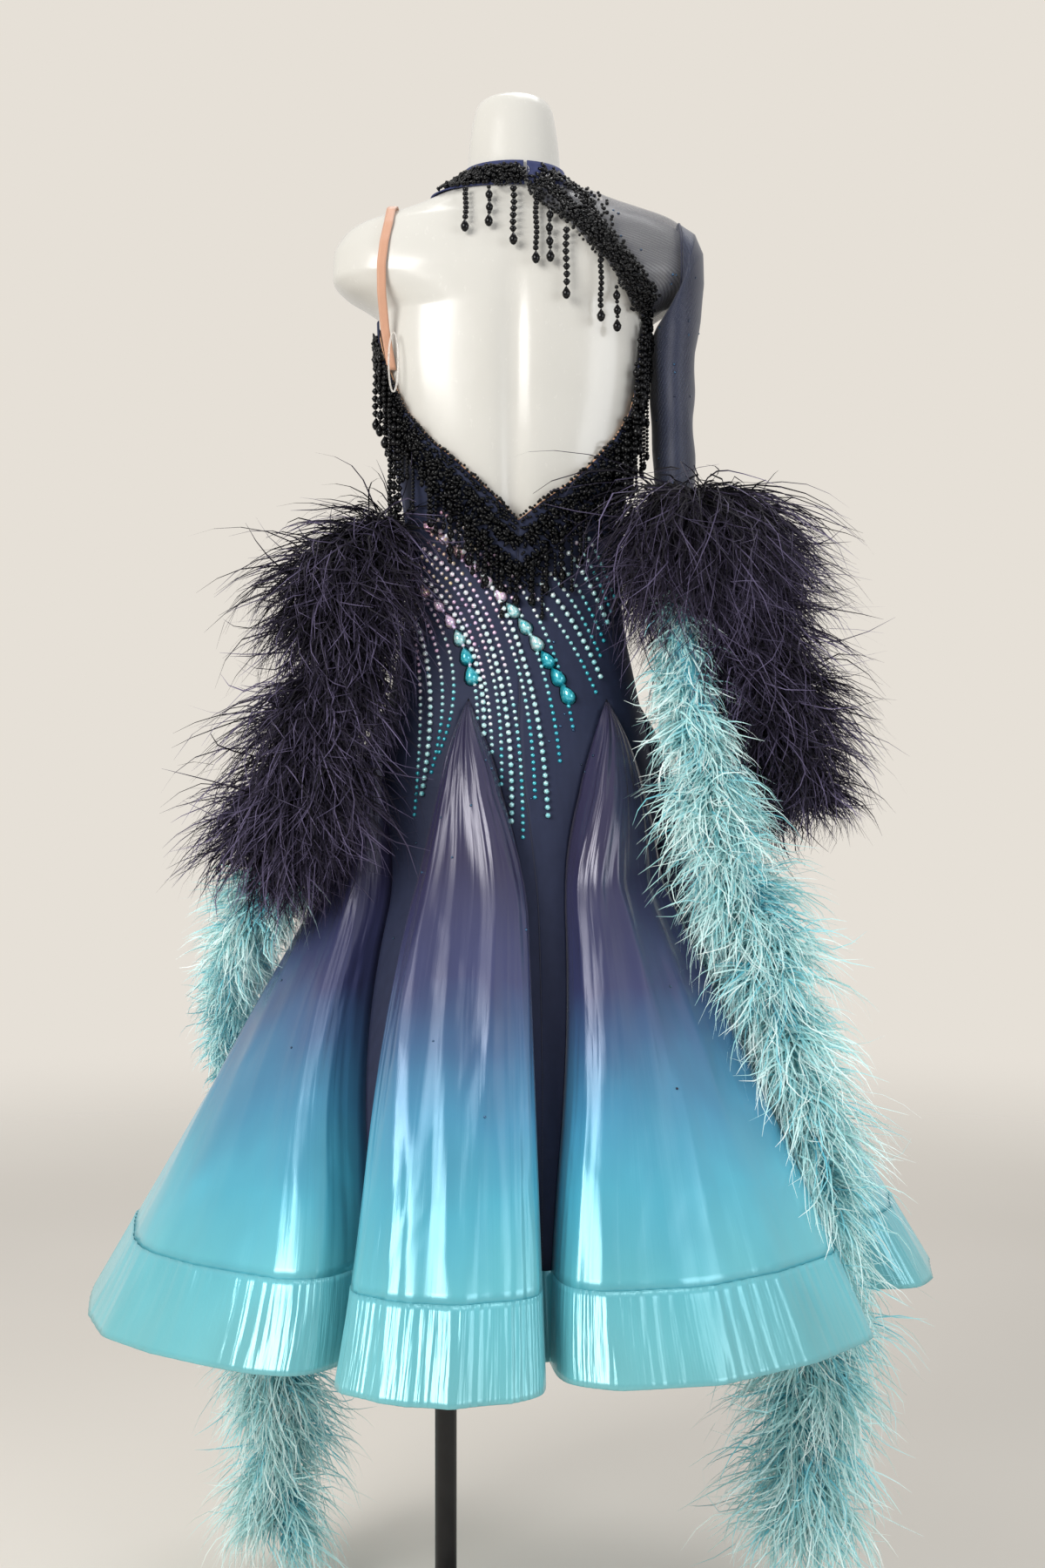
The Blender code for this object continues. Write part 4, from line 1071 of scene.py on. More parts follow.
def add_array(name, groups, material, nodes=(), values=None, smooth=False):
    """A piece made of groups of corners and triangles, with a shade value at each corner."""
    start, points, faces = 0, [], []
    for group_points, group_faces in groups:
        points.append(group_points)
        faces.append(group_faces + start)
        start += len(group_points)
    points, faces = np.concatenate(points), np.concatenate(faces)
    mesh = bpy.data.meshes.new(name)
    mesh.vertices.add(len(points))
    mesh.vertices.foreach_set("co", points.ravel().astype(np.float32))
    mesh.loops.add(faces.size)
    mesh.loops.foreach_set("vertex_index", faces.ravel().astype(np.int32))
    mesh.polygons.add(len(faces))
    mesh.polygons.foreach_set("loop_start", np.arange(0, faces.size, 3, dtype=np.int32))
    mesh.update(calc_edges=True)
    if values is not None:
        layer = mesh.attributes.new("shade", "FLOAT", "POINT")
        layer.data.foreach_set("value", np.concatenate(values).astype(np.float32))
    add_piece(name, mesh, material, nodes, smooth)
    print(name, "triangles", len(faces))


# %% Cloth to sew onto
OUTSIDE, BEHIND, NEAR_CLOTH = 0.6, 0.9, 0.014  # where rays start, and how near the form's ease they must hit


def cloth_tree(pieces):
    """The outer sides of sewn pieces, to lay beads and stones on."""
    points, faces = [], []
    for piece in pieces:
        start = len(points)
        points += [vert.co.copy() for vert in piece.data.vertices]
        faces += [[start + corner for corner in face.vertices] for face in piece.data.polygons]
    return BVHTree.FromPolygons(points, faces)


SEWN = [piece for piece in bpy.data.objects if piece.name.endswith(("_cloth", "_net", "_band", "_satin"))]
CLOTH = cloth_tree(SEWN)
BODY = cloth_tree([bpy.data.objects[name + "_cloth"] for name in PANELS])
print(len(SEWN), "pieces to sew onto")


def from_behind(tree, x, z):
    """The first cloth met from behind, and its outward way."""
    hit, normal, _, _ = tree.ray_cast(Vector((x, -BEHIND, z)), Vector((0, 1, 0)))
    return hit, normal if hit is None or normal.y < 0 else -normal


def on_cloth(angle, height):
    """Places and outward ways on the cloth, or on the form's ease where there is none."""
    plain = on_form(angle, height, EASE)
    ways = unit(on_form(angle, height, EASE + 0.01) - plain)
    for i, (turn, z) in enumerate(zip(np.radians(angle), height)):
        start = Vector((OUTSIDE * math.sin(turn), -OUTSIDE * math.cos(turn), z))
        hit, normal, _, _ = CLOTH.ray_cast(start, Vector((-math.sin(turn), math.cos(turn), 0)))
        if hit is not None and (hit - Vector(plain[i])).length < NEAR_CLOTH:
            plain[i], ways[i] = hit, normal if normal.dot(Vector(ways[i])) > 0 else -normal
    return plain, ways


# %% [markdown]
# ## Jet beading
# The beading is a band between the gown's open edge and an inner line. A texture of beads would look flat at
# the edge, so each bead is real. They are sewn in motifs: sprays of marquise beads like leaves, with rows of
# round beads along both edges, a loop here and there, and a fringe of short strands.

# %% Bands of beading
# Rows of a band: angle and height at the open edge, angle and height at the inner line
TRIMS = {
    "trim_collar_left": np.array([
        (-74, 1.7, -70, 1.72), (-60, 1.7, -58, 1.721), (-46, 1.7, -46, 1.7215),
        (-34, 1.7, -34, 1.722), (-22, 1.7, -22, 1.722), (-12, 1.699, -12, 1.722),
        (-2, 1.699, -2, 1.722), (9, 1.698, 9, 1.721),
    ]),
    "trim_diagonal": np.array([
        (16, 1.699, 44, 1.723), (18, 1.688, 62, 1.715), (25, 1.675, 62, 1.694), (32, 1.66, 54, 1.664),
        (38, 1.645, 52, 1.642), (42.5, 1.625, 54, 1.623), (47.5, 1.607, 57, 1.606), (53, 1.586, 62, 1.588),
        (59, 1.571, 69, 1.576), (67, 1.557, 80, 1.566),
    ]),
    "trim_back_right": np.array([
        (73.5, 1.552, 82, 1.55), (72.5, 1.515, 81, 1.51), (71.5, 1.48, 81, 1.47),
        (68.5, 1.443, 80, 1.43), (61.0, 1.413, 76, 1.385), (48.5, 1.379, 62, 1.335),
        (38.5, 1.36, 48, 1.31), (29.0, 1.348, 36, 1.288), (20.0, 1.338, 25, 1.264),
        (12.0, 1.328, 15, 1.248), (5.2, 1.321, 5.6, 1.243),
    ]),
    "trim_back_left": np.array([
        (3.0, 1.32, 2.6, 1.243), (-8.0, 1.335, -12, 1.252), (-19, 1.351, -25, 1.274),
        (-30, 1.37, -37, 1.304), (-40, 1.388, -47, 1.332), (-50, 1.407, -57, 1.36),
        (-56.5, 1.425, -66, 1.395), (-62.5, 1.444, -74, 1.425), (-66, 1.465, -78, 1.455),
        (-69.5, 1.487, -82, 1.485), (-76, 1.516, -86, 1.508), (-83, 1.54, -91, 1.53),
    ]),
}
ROUND_BEAD, MARQUISE = 0.0046, (0.0048, 0.012, 0.0038)
SPRAY_STEP, SPRAY_LEAVES, SPRAY_LIFT = 0.015, 7, 0.0022
# A spray: half angle of its fan, how far a leaf strays from it, how far the root is off the band's middle
SPRAY_FAN, SPRAY_LOOSE, SPRAY_ROOT = 1.9, 0.12, 0.24
LEAF_REACH, LEAF_SIZE, LEAF_TILT = (0.0078, 0.0098), (0.85, 1.15), (-0.25, 0.45)
HEART_BEAD, HEART_LIFT = 1.25, 0.0012  # the round bead at the root of a spray
ROW_STEP, ROW_PLACE, ROW_SIZE = 0.0054, (0.2, 0.8), (0.75, 1.15)
LOOP_STEP, LOOP_RADIUS, LOOP_BEADS, LOOP_LIFT, LOOP_BEAD = 0.048, 0.0078, 13, 0.002, 0.85
RAISED = 0.0016  # from the cloth to the middle of the lowest beads
# Rows of round beads: share of the band, how far it wanders, lift over the lowest
BEAD_ROWS = [(-0.07, 0.02, 0), (0.03, 0.02, 0), (0.13, 0.04, 0), (0.23, 0.05, 0.0008), (0.34, 0.08, 0.0018),
             (0.5, 0.12, 0.003), (0.66, 0.1, 0.0018), (0.78, 0.06, 0.0008), (0.89, 0.04, 0), (1.0, 0.07, 0)]
JET = mottled("jet_glass_beads", 350.0, 1.0, (0.35, "#020203"), (0.7, "#0a0a0c"), roughness=0.12, ior=1.3,
              coat_weight=0.1, coat_roughness=0.03)[0]
rng = np.random.default_rng(20)


def middle_line(rows, radius):
    return polar((rows[:, 0] + rows[:, 2]) / 2, radius, (rows[:, 1] + rows[:, 3]) / 2)


def band_points(rows, along, across):
    """Places on a band for shares along its middle line and shares across it from the open edge."""
    length = walked(middle_line(rows, 0.1))
    edge, edge_z, inner, inner_z = at_distance(rows, length, np.clip(along, 0, 1) * length[-1]).T
    return on_cloth(edge + (inner - edge) * across, edge_z + (inner_z - edge_z) * across)


def band_length(rows):
    return walked(middle_line(rows, form_radius((rows[:, 0] + rows[:, 2]) / 2, rows[:, 1])))[-1]


# %% Sprays, rows and loops
def spray_groups(rows, length):
    """Sprays of marquise beads that fan from the open edge and from the inner line by turns."""
    count = max(3, round(length / SPRAY_STEP))
    groups = []
    for level, (lift, shift) in enumerate(((RAISED, 0.0), (RAISED + SPRAY_LIFT, 0.5))):
        for k in range(count):
            centre = (k + 0.5 * shift + 0.3) / count
            root = 0.5 + SPRAY_ROOT * (-1) ** (k + level)
            turns = np.linspace(-SPRAY_FAN, SPRAY_FAN, SPRAY_LEAVES)
            turns = turns + rng.uniform(-SPRAY_LOOSE, SPRAY_LOOSE, SPRAY_LEAVES)
            turns += np.pi / 2 * (-1) ** (k + level + 1)
            reach = rng.uniform(*LEAF_REACH, SPRAY_LEAVES)
            start, way = band_points(rows, np.array([centre, min(centre + 0.01, 1), centre]),
                                     np.array([root, root, root + 0.05]))
            along, out = unit(start[1] - start[0]), way[0]
            across = unit(np.cross(out, along))
            across = across if np.dot(across, start[2] - start[0]) > 0 else -across
            leaf = np.cos(turns)[:, None] * along + np.sin(turns)[:, None] * across
            place = start[0] + leaf * reach[:, None] + out * lift
            tilt = out + leaf * rng.uniform(*LEAF_TILT, (SPRAY_LEAVES, 1))
            size = np.array(MARQUISE) * rng.uniform(*LEAF_SIZE, (SPRAY_LEAVES, 1))
            groups.append(copies(BALL, place, leaf, tilt, size))
            heart = start[0] + out * (lift + HEART_LIFT)
            groups.append(copies(BALL, heart, along, out, ROUND_BEAD * HEART_BEAD))
    return groups


def row_groups(rows, length):
    """Rows of round beads along the band, the outer ones even and the inner ones loose."""
    groups = []
    count = int(length / ROW_STEP)
    for across, wander, lift in BEAD_ROWS:
        along = (np.arange(count) + rng.uniform(*ROW_PLACE, count)) / count
        place, way = band_points(rows, along, across + rng.uniform(-wander, wander, count))
        size = ROUND_BEAD * rng.uniform(*ROW_SIZE, (count, 1))
        groups.append(copies(BALL, place + way * (RAISED + lift), way[:, [1, 2, 0]], way, size))
    return groups


def loop_groups(rows, length):
    """Small rings of beads that stand up at the open edge."""
    groups = []
    turns = np.linspace(0, 2 * np.pi, LOOP_BEADS, endpoint=False)[:, None]
    for k in range(int(length / LOOP_STEP)):
        centre = (k + 0.6) * LOOP_STEP / length
        place, way = band_points(rows, np.array([centre, centre + 0.02, centre]), np.array([0.02, 0.02, 0.2]))
        along, out, edge = unit(place[1] - place[0]), way[0], unit(place[0] - place[2])
        foot = place[0] + out * (RAISED + LOOP_LIFT) + edge * LOOP_LIFT
        ring = foot + LOOP_RADIUS * (np.cos(turns) * along + np.sin(turns) * unit(edge + 0.5 * out))
        groups.append(copies(BALL, ring, along, out, ROUND_BEAD * LOOP_BEAD))
    return groups


# %% Strands and fringe
# Strands: trim, x at the top, height of the top and of the end. The last eleven run along the V of the back
STRANDS = [
    ("trim_collar_left", -0.053, 1.695, 1.65), ("trim_collar_left", -0.027, 1.695, 1.654),
    ("trim_collar_left", 0.0, 1.695, 1.628), ("trim_diagonal", 0.025, 1.688, 1.609),
    ("trim_diagonal", 0.04, 1.669, 1.61), ("trim_diagonal", 0.058, 1.643, 1.575),
    ("trim_diagonal", 0.096, 1.613, 1.548), ("trim_diagonal", 0.114, 1.579, 1.532),
    ("trim_back_right", 0.142, 1.53, 1.458), ("trim_back_right", 0.141, 1.48, 1.411),
    ("trim_back_right", 0.131, 1.433, 1.362), ("trim_back_right", 0.116, 1.405, 1.325),
    ("trim_back_left", -0.138, 1.475, 1.306), ("trim_back_left", -0.15, 1.52, 1.426),
    ("trim_back_left", -0.156, 1.512, 1.44), ("trim_back_left", -0.144, 1.5, 1.415),
    ("trim_back_left", -0.133, 1.455, 1.33), ("trim_back_left", -0.128, 1.44, 1.345),
    ("trim_back_right", 0.146, 1.545, 1.47), ("trim_back_right", 0.137, 1.5, 1.425),
    ("trim_back_right", 0.144, 1.505, 1.44), ("trim_back_right", 0.135, 1.462, 1.385),
    ("trim_back_right", 0.123, 1.415, 1.345), ("trim_back_right", 0.126, 1.44, 1.372),
    ("trim_back_left", -0.092, 1.372, 1.325), ("trim_back_left", -0.07, 1.35, 1.293),
    ("trim_back_left", -0.05, 1.328, 1.28), ("trim_back_left", -0.031, 1.312, 1.262),
    ("trim_back_left", -0.0135, 1.292, 1.25), ("trim_back_left", 0.003, 1.275, 1.238),
    ("trim_back_right", 0.02, 1.278, 1.235), ("trim_back_right", 0.036, 1.292, 1.25),
    ("trim_back_right", 0.054, 1.312, 1.262), ("trim_back_right", 0.074, 1.335, 1.282),
    ("trim_back_right", 0.096, 1.35, 1.303),
]
STRAND_OFF, STRAND_NEST, STRAND_SWAY = 0.01, 0.96, 0.0005
# Kinds of strand: the beads in turn, as (shape, width, height)
STRAND_KINDS = [
    [(BEAD, 0.0068, 0.0064)], [(BEAD, 0.0048, 0.0044), (TEAR, 0.0086, 0.0125)], [(FACETED, 0.0086, 0.0088)],
]
END_DROP, SMALL_DROP = (0.0096, 0.0096, 0.015), (0.0062, 0.0062, 0.0095)
FRINGE_BEAD, FRINGE_STEP, FRINGE_COUNT = 0.0046, 0.011, (6, 15)
FRINGE_TOP, FRINGE_LIFT, FRINGE_NEST, FRINGE_OFF = (0.55, 1.0), 0.0035, 0.92, 0.7
FRINGES = {"trim_back_left": (0.02, 0.72), "trim_back_right": (0.24, 0.98)}


def behind_form(x, height, off):
    half, behind, _, square = section(height)
    share = np.minimum(np.abs(x) / (half + off), 0.985)
    return -(behind + off) * (1 - share ** square) ** (1 / square)


def strand_groups(x, top, end, kind):
    """One hanging strand: the beads of its kind in turn, and a drop at its end."""
    groups, height, number, y, last = [], top, 0, 0, False
    while height > end and not last:
        shape, wide, tall = STRAND_KINDS[kind][number % len(STRAND_KINDS[kind])]
        last = height - tall < end
        if last:
            shape, (wide, _, tall) = TEAR, END_DROP
        middle = height - tall / 2
        y = min(behind_form(x, middle, STRAND_OFF), y)
        place = (x + STRAND_SWAY * math.sin(number * 0.9 + 40 * x), y, middle)
        groups.append(copies(shape, place, (0, 1.0, 0), UP, (wide, wide, tall)))
        height -= tall * STRAND_NEST
        number += 1
    return groups


def fringe_groups(name, rows, length):
    """Short strands that hang from the inner line of the beading, of several lengths."""
    groups = []
    first, last = FRINGES[name]
    for k in range(int(length * (last - first) / FRINGE_STEP)):
        at = first + (k + 0.5) * FRINGE_STEP / length
        places, ways = band_points(rows, np.array([at]), np.array([rng.uniform(*FRINGE_TOP)]))
        count = int(rng.integers(*FRINGE_COUNT))
        drop = np.arange(count)[:, None] * DOWN * FRINGE_BEAD * FRINGE_NEST
        place = places + ways * (RAISED + FRINGE_LIFT) + drop
        for i, (x, _, z) in enumerate(place):
            hit = from_behind(CLOTH, x, z)[0]
            place[i, 1] = min(place[i, 1], hit.y - FRINGE_BEAD * FRINGE_OFF if hit is not None else 0)
        size = np.full((count, 3), FRINGE_BEAD)
        size[-1] = SMALL_DROP
        groups.append(copies(BALL, place, (0, 1.0, 0), UP, size))
    return groups


for name, rows in TRIMS.items():
    length = band_length(rows)
    groups = spray_groups(rows, length) + row_groups(rows, length) + loop_groups(rows, length)
    if name in FRINGES:
        groups += fringe_groups(name, rows, length)
    for number, (owner, x, top, end) in enumerate(STRANDS):
        if owner == name:
            groups += strand_groups(x, top, end, number % len(STRAND_KINDS))
    add_array(name + "_beads", groups, JET, [name])

# %% [markdown]
# ## Stones
# The stones follow a design worked out from a formula: a fan of curved rays from one side of the waist to
# the other, a smaller fan on the right, and two lines of large drops. Each could be placed by hand, but a ray
# from behind finds the cloth under it, and its normal tells the stone which way to face.

# %% Laying stones from behind
STONE, PEARL, STONE_STEP, PEARL_STEP = 0.0053, 0.0066, 0.0076, 0.0087
DROP_LONG, DROP_STEP, DROP_SIZES = 0.0235, 0.0225, (0.76, 1.18)
SHADE_RIM = (1.07, 1.07, 0.35)  # dark copy round a drop, as a share of it: painted shade at its edge
SAME_CLOTH, FARTHEST_Y = 0.002, 0.05
STONE_TURN, STONE_TILT, STONE_TONE, PEARL_LIFT = 0.5, 0.1, 0.08, 0.35


def lay(points):
    """Places and outward ways on the body panels, and which points met them."""
    places, ways, ok = np.zeros((len(points), 3)), np.zeros((len(points), 3)), np.zeros(len(points), bool)
    for i, (x, z) in enumerate(points):
        hit, way = from_behind(BODY, x, z)
        first = from_behind(CLOTH, x, z)[0]
        if hit is not None and first is not None and hit.y < FARTHEST_Y and (hit - first).length < SAME_CLOTH:
            places[i], ways[i], ok[i] = hit, way, True
    return places, ways, ok


def curve(start, bend, end, step):
    """Points at even steps along a quadratic curve."""
    start, bend, end = (np.array(point) for point in (start, bend, end))
    t = np.linspace(0, 1, 60)[:, None]
    line = (1 - t) ** 2 * start + 2 * t * (1 - t) * bend + t * t * end
    length = walked(line)
    return at_distance(line, length, np.arange(0, length[-1], step))


# %% The design
FAN_RAYS, SIDE_RAYS, RIGHT_RAYS = 10, 4, 7
# Lines of drops: start, bend, end
DROP_LINES = [((-0.094, 1.316), (0.01, 1.232), (0.066, 1.114)),
              ((-0.098, 1.244), (-0.058, 1.208), (-0.044, 1.14))]


def ray(start, bend, end, is_pearl, first, last):
    """A ray's points, whether it is of pearls, and its shade at the start and at the end."""
    return curve(start, bend, end, PEARL_STEP if is_pearl else STONE_STEP), is_pearl, first, last


def fan_rays():
    rays = []
    for k in range(FAN_RAYS):
        share = k / (FAN_RAYS - 1)
        start = (-0.114 + 0.034 * share, 1.262 + 0.07 * share)
        bend = (-0.02 + 0.06 * share, 1.18 + 0.078 * share)
        end_z = 1.045 - 0.13 * math.sin(math.pi * share * 0.8) + 0.11 * share + 0.022 * math.sin(2.4 * k)
        end = (-0.044 + 0.11 * share ** 1.2, end_z)
        rays.append(ray(start, bend, end, k % 3 == 1, 0.05, 0.8 + 0.2 * share))
    for k in range(SIDE_RAYS):
        start = (-0.114, 1.256 - 0.016 * k)
        bend = (-0.038 - 0.019 * k, 1.165 - 0.008 * k)
        end = (-0.082 - 0.009 * k, 1.062 - 0.024 * k)
        rays.append(ray(start, bend, end, k == 2, 0.15, 0.95))
    for k in range(RIGHT_RAYS):
        share = k / (RIGHT_RAYS - 1)
        start = (0.022 + 0.058 * share, 1.24 + 0.07 * share)
        bend = (0.06 + 0.035 * share, 1.205 + 0.085 * share)
        end = (0.092 + 0.022 * share, 1.13 + 0.11 * share)
        rays.append(ray(start, bend, end, k % 3 == 1, 0.45, 0.9))
    return rays


# %% Foiled stones
# A stone's colour by its shade, from the start of a ray to its end
FOIL = [(0.0, "#f0b7d6"), (0.1, "#fde7b4"), (0.2, "#e4dcff"), (0.31, "#fbc9ea"), (0.45, "#f4fdfe"),
        (0.62, "#b8eff0"), (0.8, "#45c6d3"), (1.0, "#16a8bf")]


def corner_shade(tree):
    return node(tree, "ShaderNodeAttribute", attribute_name="shade").outputs["Fac"]


def stone_finish(name, rough=0.1, painted_fire=0.36):
    """Foiled glass. Fire is how far a painted flash, standing in for sparkle, moves a colour from its shade.
    """
    material, tree, shader = new_material(name)
    # A noise that shifts each stone's colour: painted flashes of coloured light on its facets
    flash = noise(tree, object_point(tree), 260.0, 1.0)
    shifted = worked(tree, "MULTIPLY_ADD", flash, painted_fire, -painted_fire / 2)
    total = worked(tree, "ADD", corner_shade(tree), shifted, use_clamp=True)
    colour_by(tree, shader, total, *FOIL)
    set_finish(shader, roughness=rough, metallic=0.28, coat_weight=0.9, coat_roughness=0.04, ior=1.7)
    return material


def make_stones():
    stones, stone_values, pearls, pearl_values = [], [], [], []
    for points, is_pearl, first, last in fan_rays():
        places, ways, ok = lay(points)
        shade = np.linspace(first, last, len(points)) + rng.uniform(-STONE_TONE, STONE_TONE, len(points))
        places, ways, shade = places[ok], ways[ok], shade[ok]
        if not len(places):
            continue
        along = UP + rng.uniform(-STONE_TURN, STONE_TURN, places.shape)
        tilt = ways + rng.uniform(-STONE_TILT, STONE_TILT, ways.shape)
        if is_pearl:
            pearls.append(copies(BALL, places + ways * (PEARL * PEARL_LIFT), along, tilt, PEARL))
            pearl_values.append(np.repeat(0.35 + 0.35 * shade, len(BALL[0])))
        else:
            stones.append(copies(CUT_STONE, places, along, tilt, STONE))
            stone_values.append(np.repeat(shade, len(CUT_STONE[0])))
    add_array("crystal_rays", stones, stone_finish("foiled_crystal"), (), stone_values)
    add_array("pearl_rays", pearls, stone_finish("lustre_pearl", 0.28), (), pearl_values, smooth=True)


def lay_drops():
    """The drops along both lines, dark copies that paint shade round their edges, and their shades."""
    drops, settings, values = [], [], []
    for start, bend, end in DROP_LINES:
        points = curve(start, bend, end, DROP_STEP)
        places, ways, ok = lay(points)
        slope = np.gradient(points, axis=0)
        along = np.stack([-slope[:, 0], 0 * slope[:, 0], -slope[:, 1]], axis=1)[ok]
        size = np.linspace(*DROP_SIZES, len(points))[ok, None] * DROP_LONG
        drops.append(copies(DROP_STONE, places[ok], along, ways[ok], size))
        # A dark copy behind each drop, a little larger: painted shade round its edge
        settings.append(copies(DROP_STONE, places[ok], along, ways[ok], size * SHADE_RIM))
        shade = np.linspace(0.0, 1.0, len(points)) + 0.15 * np.sin(2.2 * np.arange(len(points)))
        values.append(np.repeat(np.clip(shade[ok], 0, 1), len(DROP_STONE[0])))
    return drops, settings, values


drops, settings, drop_shades = lay_drops()
# Dark copies behind the drops: painted shade round their edges
add_array("drop_settings", settings, JET)
make_stones()
add_array("crystal_drops", drops, stone_finish("foiled_drop", 0.06, 0.75), (), drop_shades)

# %% Scattered stones on the net and the body
# Small dark blue stones that flash only where they face a light
NIGHT = mottled("night_crystal", 180.0, 1.0, (0.35, "#121a33"), (0.65, "#38658a"),
                roughness=0.1, metallic=0.55, coat_weight=0.6, coat_roughness=0.04)[0]
SCATTER_STONE, SCATTER_SIZES, SCATTER_DEEPEST = 0.003, (0.8, 1.3), 0.02
# Regions: x from and to, height from and to, how many
SCATTERS = [(0.085, 0.185, 1.6, 1.69, 10), (0.162, 0.212, 1.35, 1.6, 16), (-0.115, 0.11, 0.98, 1.24, 34),
            (-0.3, 0.3, 0.62, 0.98, 18)]


def make_scatter():
    places, ways = [], []
    for left, right, low, high, count in SCATTERS:
        for _ in range(count):
            x, z = rng.uniform(left, right), rng.uniform(low, high)
            hit, way = from_behind(CLOTH, x, z)
            if hit is not None and hit.y < SCATTER_DEEPEST:
                places.append(hit)
                ways.append(way)
    size = SCATTER_STONE * rng.uniform(*SCATTER_SIZES, (len(places), 1))
    stones = copies(CUT_STONE, np.array(places), UP, np.array(ways), size)
    add_array("scattered_crystals", [stones], NIGHT)


make_scatter()

# %% [markdown]
# ## Feathers
# An ostrich boa is a twisted core with plumes all round it. Each plume is a lock of soft barbs that droops.
# Hair particles would give them, but they leave no mesh for the export, so each barb is a narrow ribbon of
# six lengths, and all ribbons of a boa are worked out together with arrays. Barbs that would pass through
# the gown are moved out of it.

# %% Room taken by the gown
MAP_TURN, MAP_RISE = 1.5, 0.008
MAP_TURNS, MAP_HEIGHTS = np.arange(0, 361, MAP_TURN), np.arange(0.44, 1.56, MAP_RISE)
SLEEVE_X, WAIST_Z, SKIRT_REACH = 0.155, 1.2, 10  # above the waist, the sleeve beyond SLEEVE_X is left out
FLOOR_ROOM, FLOOR_GIVE = 0.006, 0.15


def gown_radii():
    radii = np.zeros((len(MAP_TURNS), len(MAP_HEIGHTS)))
    for i, turn in enumerate(np.radians(MAP_TURNS)):
        way = Vector((-math.sin(turn), math.cos(turn), 0))
        for j, height in enumerate(MAP_HEIGHTS):
            hit = CLOTH.ray_cast(Vector((0, 0, height)) - way * OUTSIDE, way)[0]
            if hit is not None and hit.dot(-way) > 0 and hit.x < SLEEVE_X + SKIRT_REACH * (height < WAIST_Z):
                radii[i, j] = hit.dot(-way)
    return radii


GOWN_RADII = gown_radii()
print("widest radius of the gown", round(GOWN_RADII.max(), 3))


def clear_of_gown(points, room):
    """Moves points out of the gown, sideways from its axis."""
    turn = np.degrees(np.arctan2(points[:, 0], -points[:, 1])) % 360
    i = np.clip(np.rint(turn / MAP_TURN).astype(int), 0, len(MAP_TURNS) - 1)
    j = np.clip(np.rint((points[:, 2] - MAP_HEIGHTS[0]) / MAP_RISE).astype(int), 0, len(MAP_HEIGHTS) - 1)
    least = GOWN_RADII[i, j] + room
    least[(points[:, 2] < MAP_HEIGHTS[0]) | (points[:, 2] > MAP_HEIGHTS[-1])] = 0
    radius = np.hypot(points[:, 0], points[:, 1])
    scale = np.where(radius < least, least / np.maximum(radius, 1e-6), 1)
    moved = points * np.stack([scale, scale, np.ones_like(scale)], axis=1)
    moved[:, 2] = np.maximum(moved[:, 2], FLOOR_ROOM + FLOOR_GIVE * np.maximum(FLOOR_ROOM - moved[:, 2], 0))
    return moved


# %% Barbs
BARB_TAPER = (0.5, 0.9, 1.0, 0.95, 0.8, 0.55, 0.12)
LENGTHS = len(BARB_TAPER) - 1
BARBS, BARB_WIDTH = 25, 0.0019  # barbs in a lock, and the width of one
LOOSENESS, ROOT_SPREAD, MOST_UP, HANG = 0.36, 0.006, 0.28, 0.2
BARB_REACH, LOCK_TURN, BARB_TURN, BARB_CURL = (0.45, 1.12), (0.75, 1.2), (0.6, 1.3), 0.4
WAVE, WAVES, ARC_GROWTH = 0.11, 2.2, 1.05
GOWN_ROOM, MOST_PUSH = 0.003, 0.07  # a barb that the gown would push further than MOST_PUSH is trimmed off
# Shades: painted shade at the root, deep in the boa, how much painted light lightens the tip, and how much
# a lock and a barb differ
ROOT_PAINTED_SHADE, TIP_PAINTED_LIGHT, LOCK_TONE, BARB_TONE = 0.1, 0.74, 0.16, 0.24


def barb_strip():
    """A strip one unit long, in six lengths, that narrows to its tip."""
    work = bmesh.new()
    bmesh.ops.create_grid(work, x_segments=1, y_segments=LENGTHS, size=0.5)
    for vert in work.verts:
        vert.co.y += 0.5
        vert.co.x *= BARB_TAPER[round(vert.co.y * LENGTHS)]
    return work


STRIP = arrays_of(barb_strip())


def random_ways(count):
    return unit(rng.normal(size=(count, 3)))


def spread_push(push):
    """Lets a barb that meets the gown swing clear from its root, and stay clear to its tip."""
    spread = push.copy()

    def raise_to(station, swing):
        more = np.linalg.norm(swing, axis=1) > np.linalg.norm(spread[:, station], axis=1)
        spread[more, station] = swing[more]

    for station in range(LENGTHS - 1, -1, -1):
        raise_to(station, spread[:, station + 1] * station / (station + 1))
    for station in range(1, LENGTHS + 1):
        raise_to(station, spread[:, station - 1])
    return spread


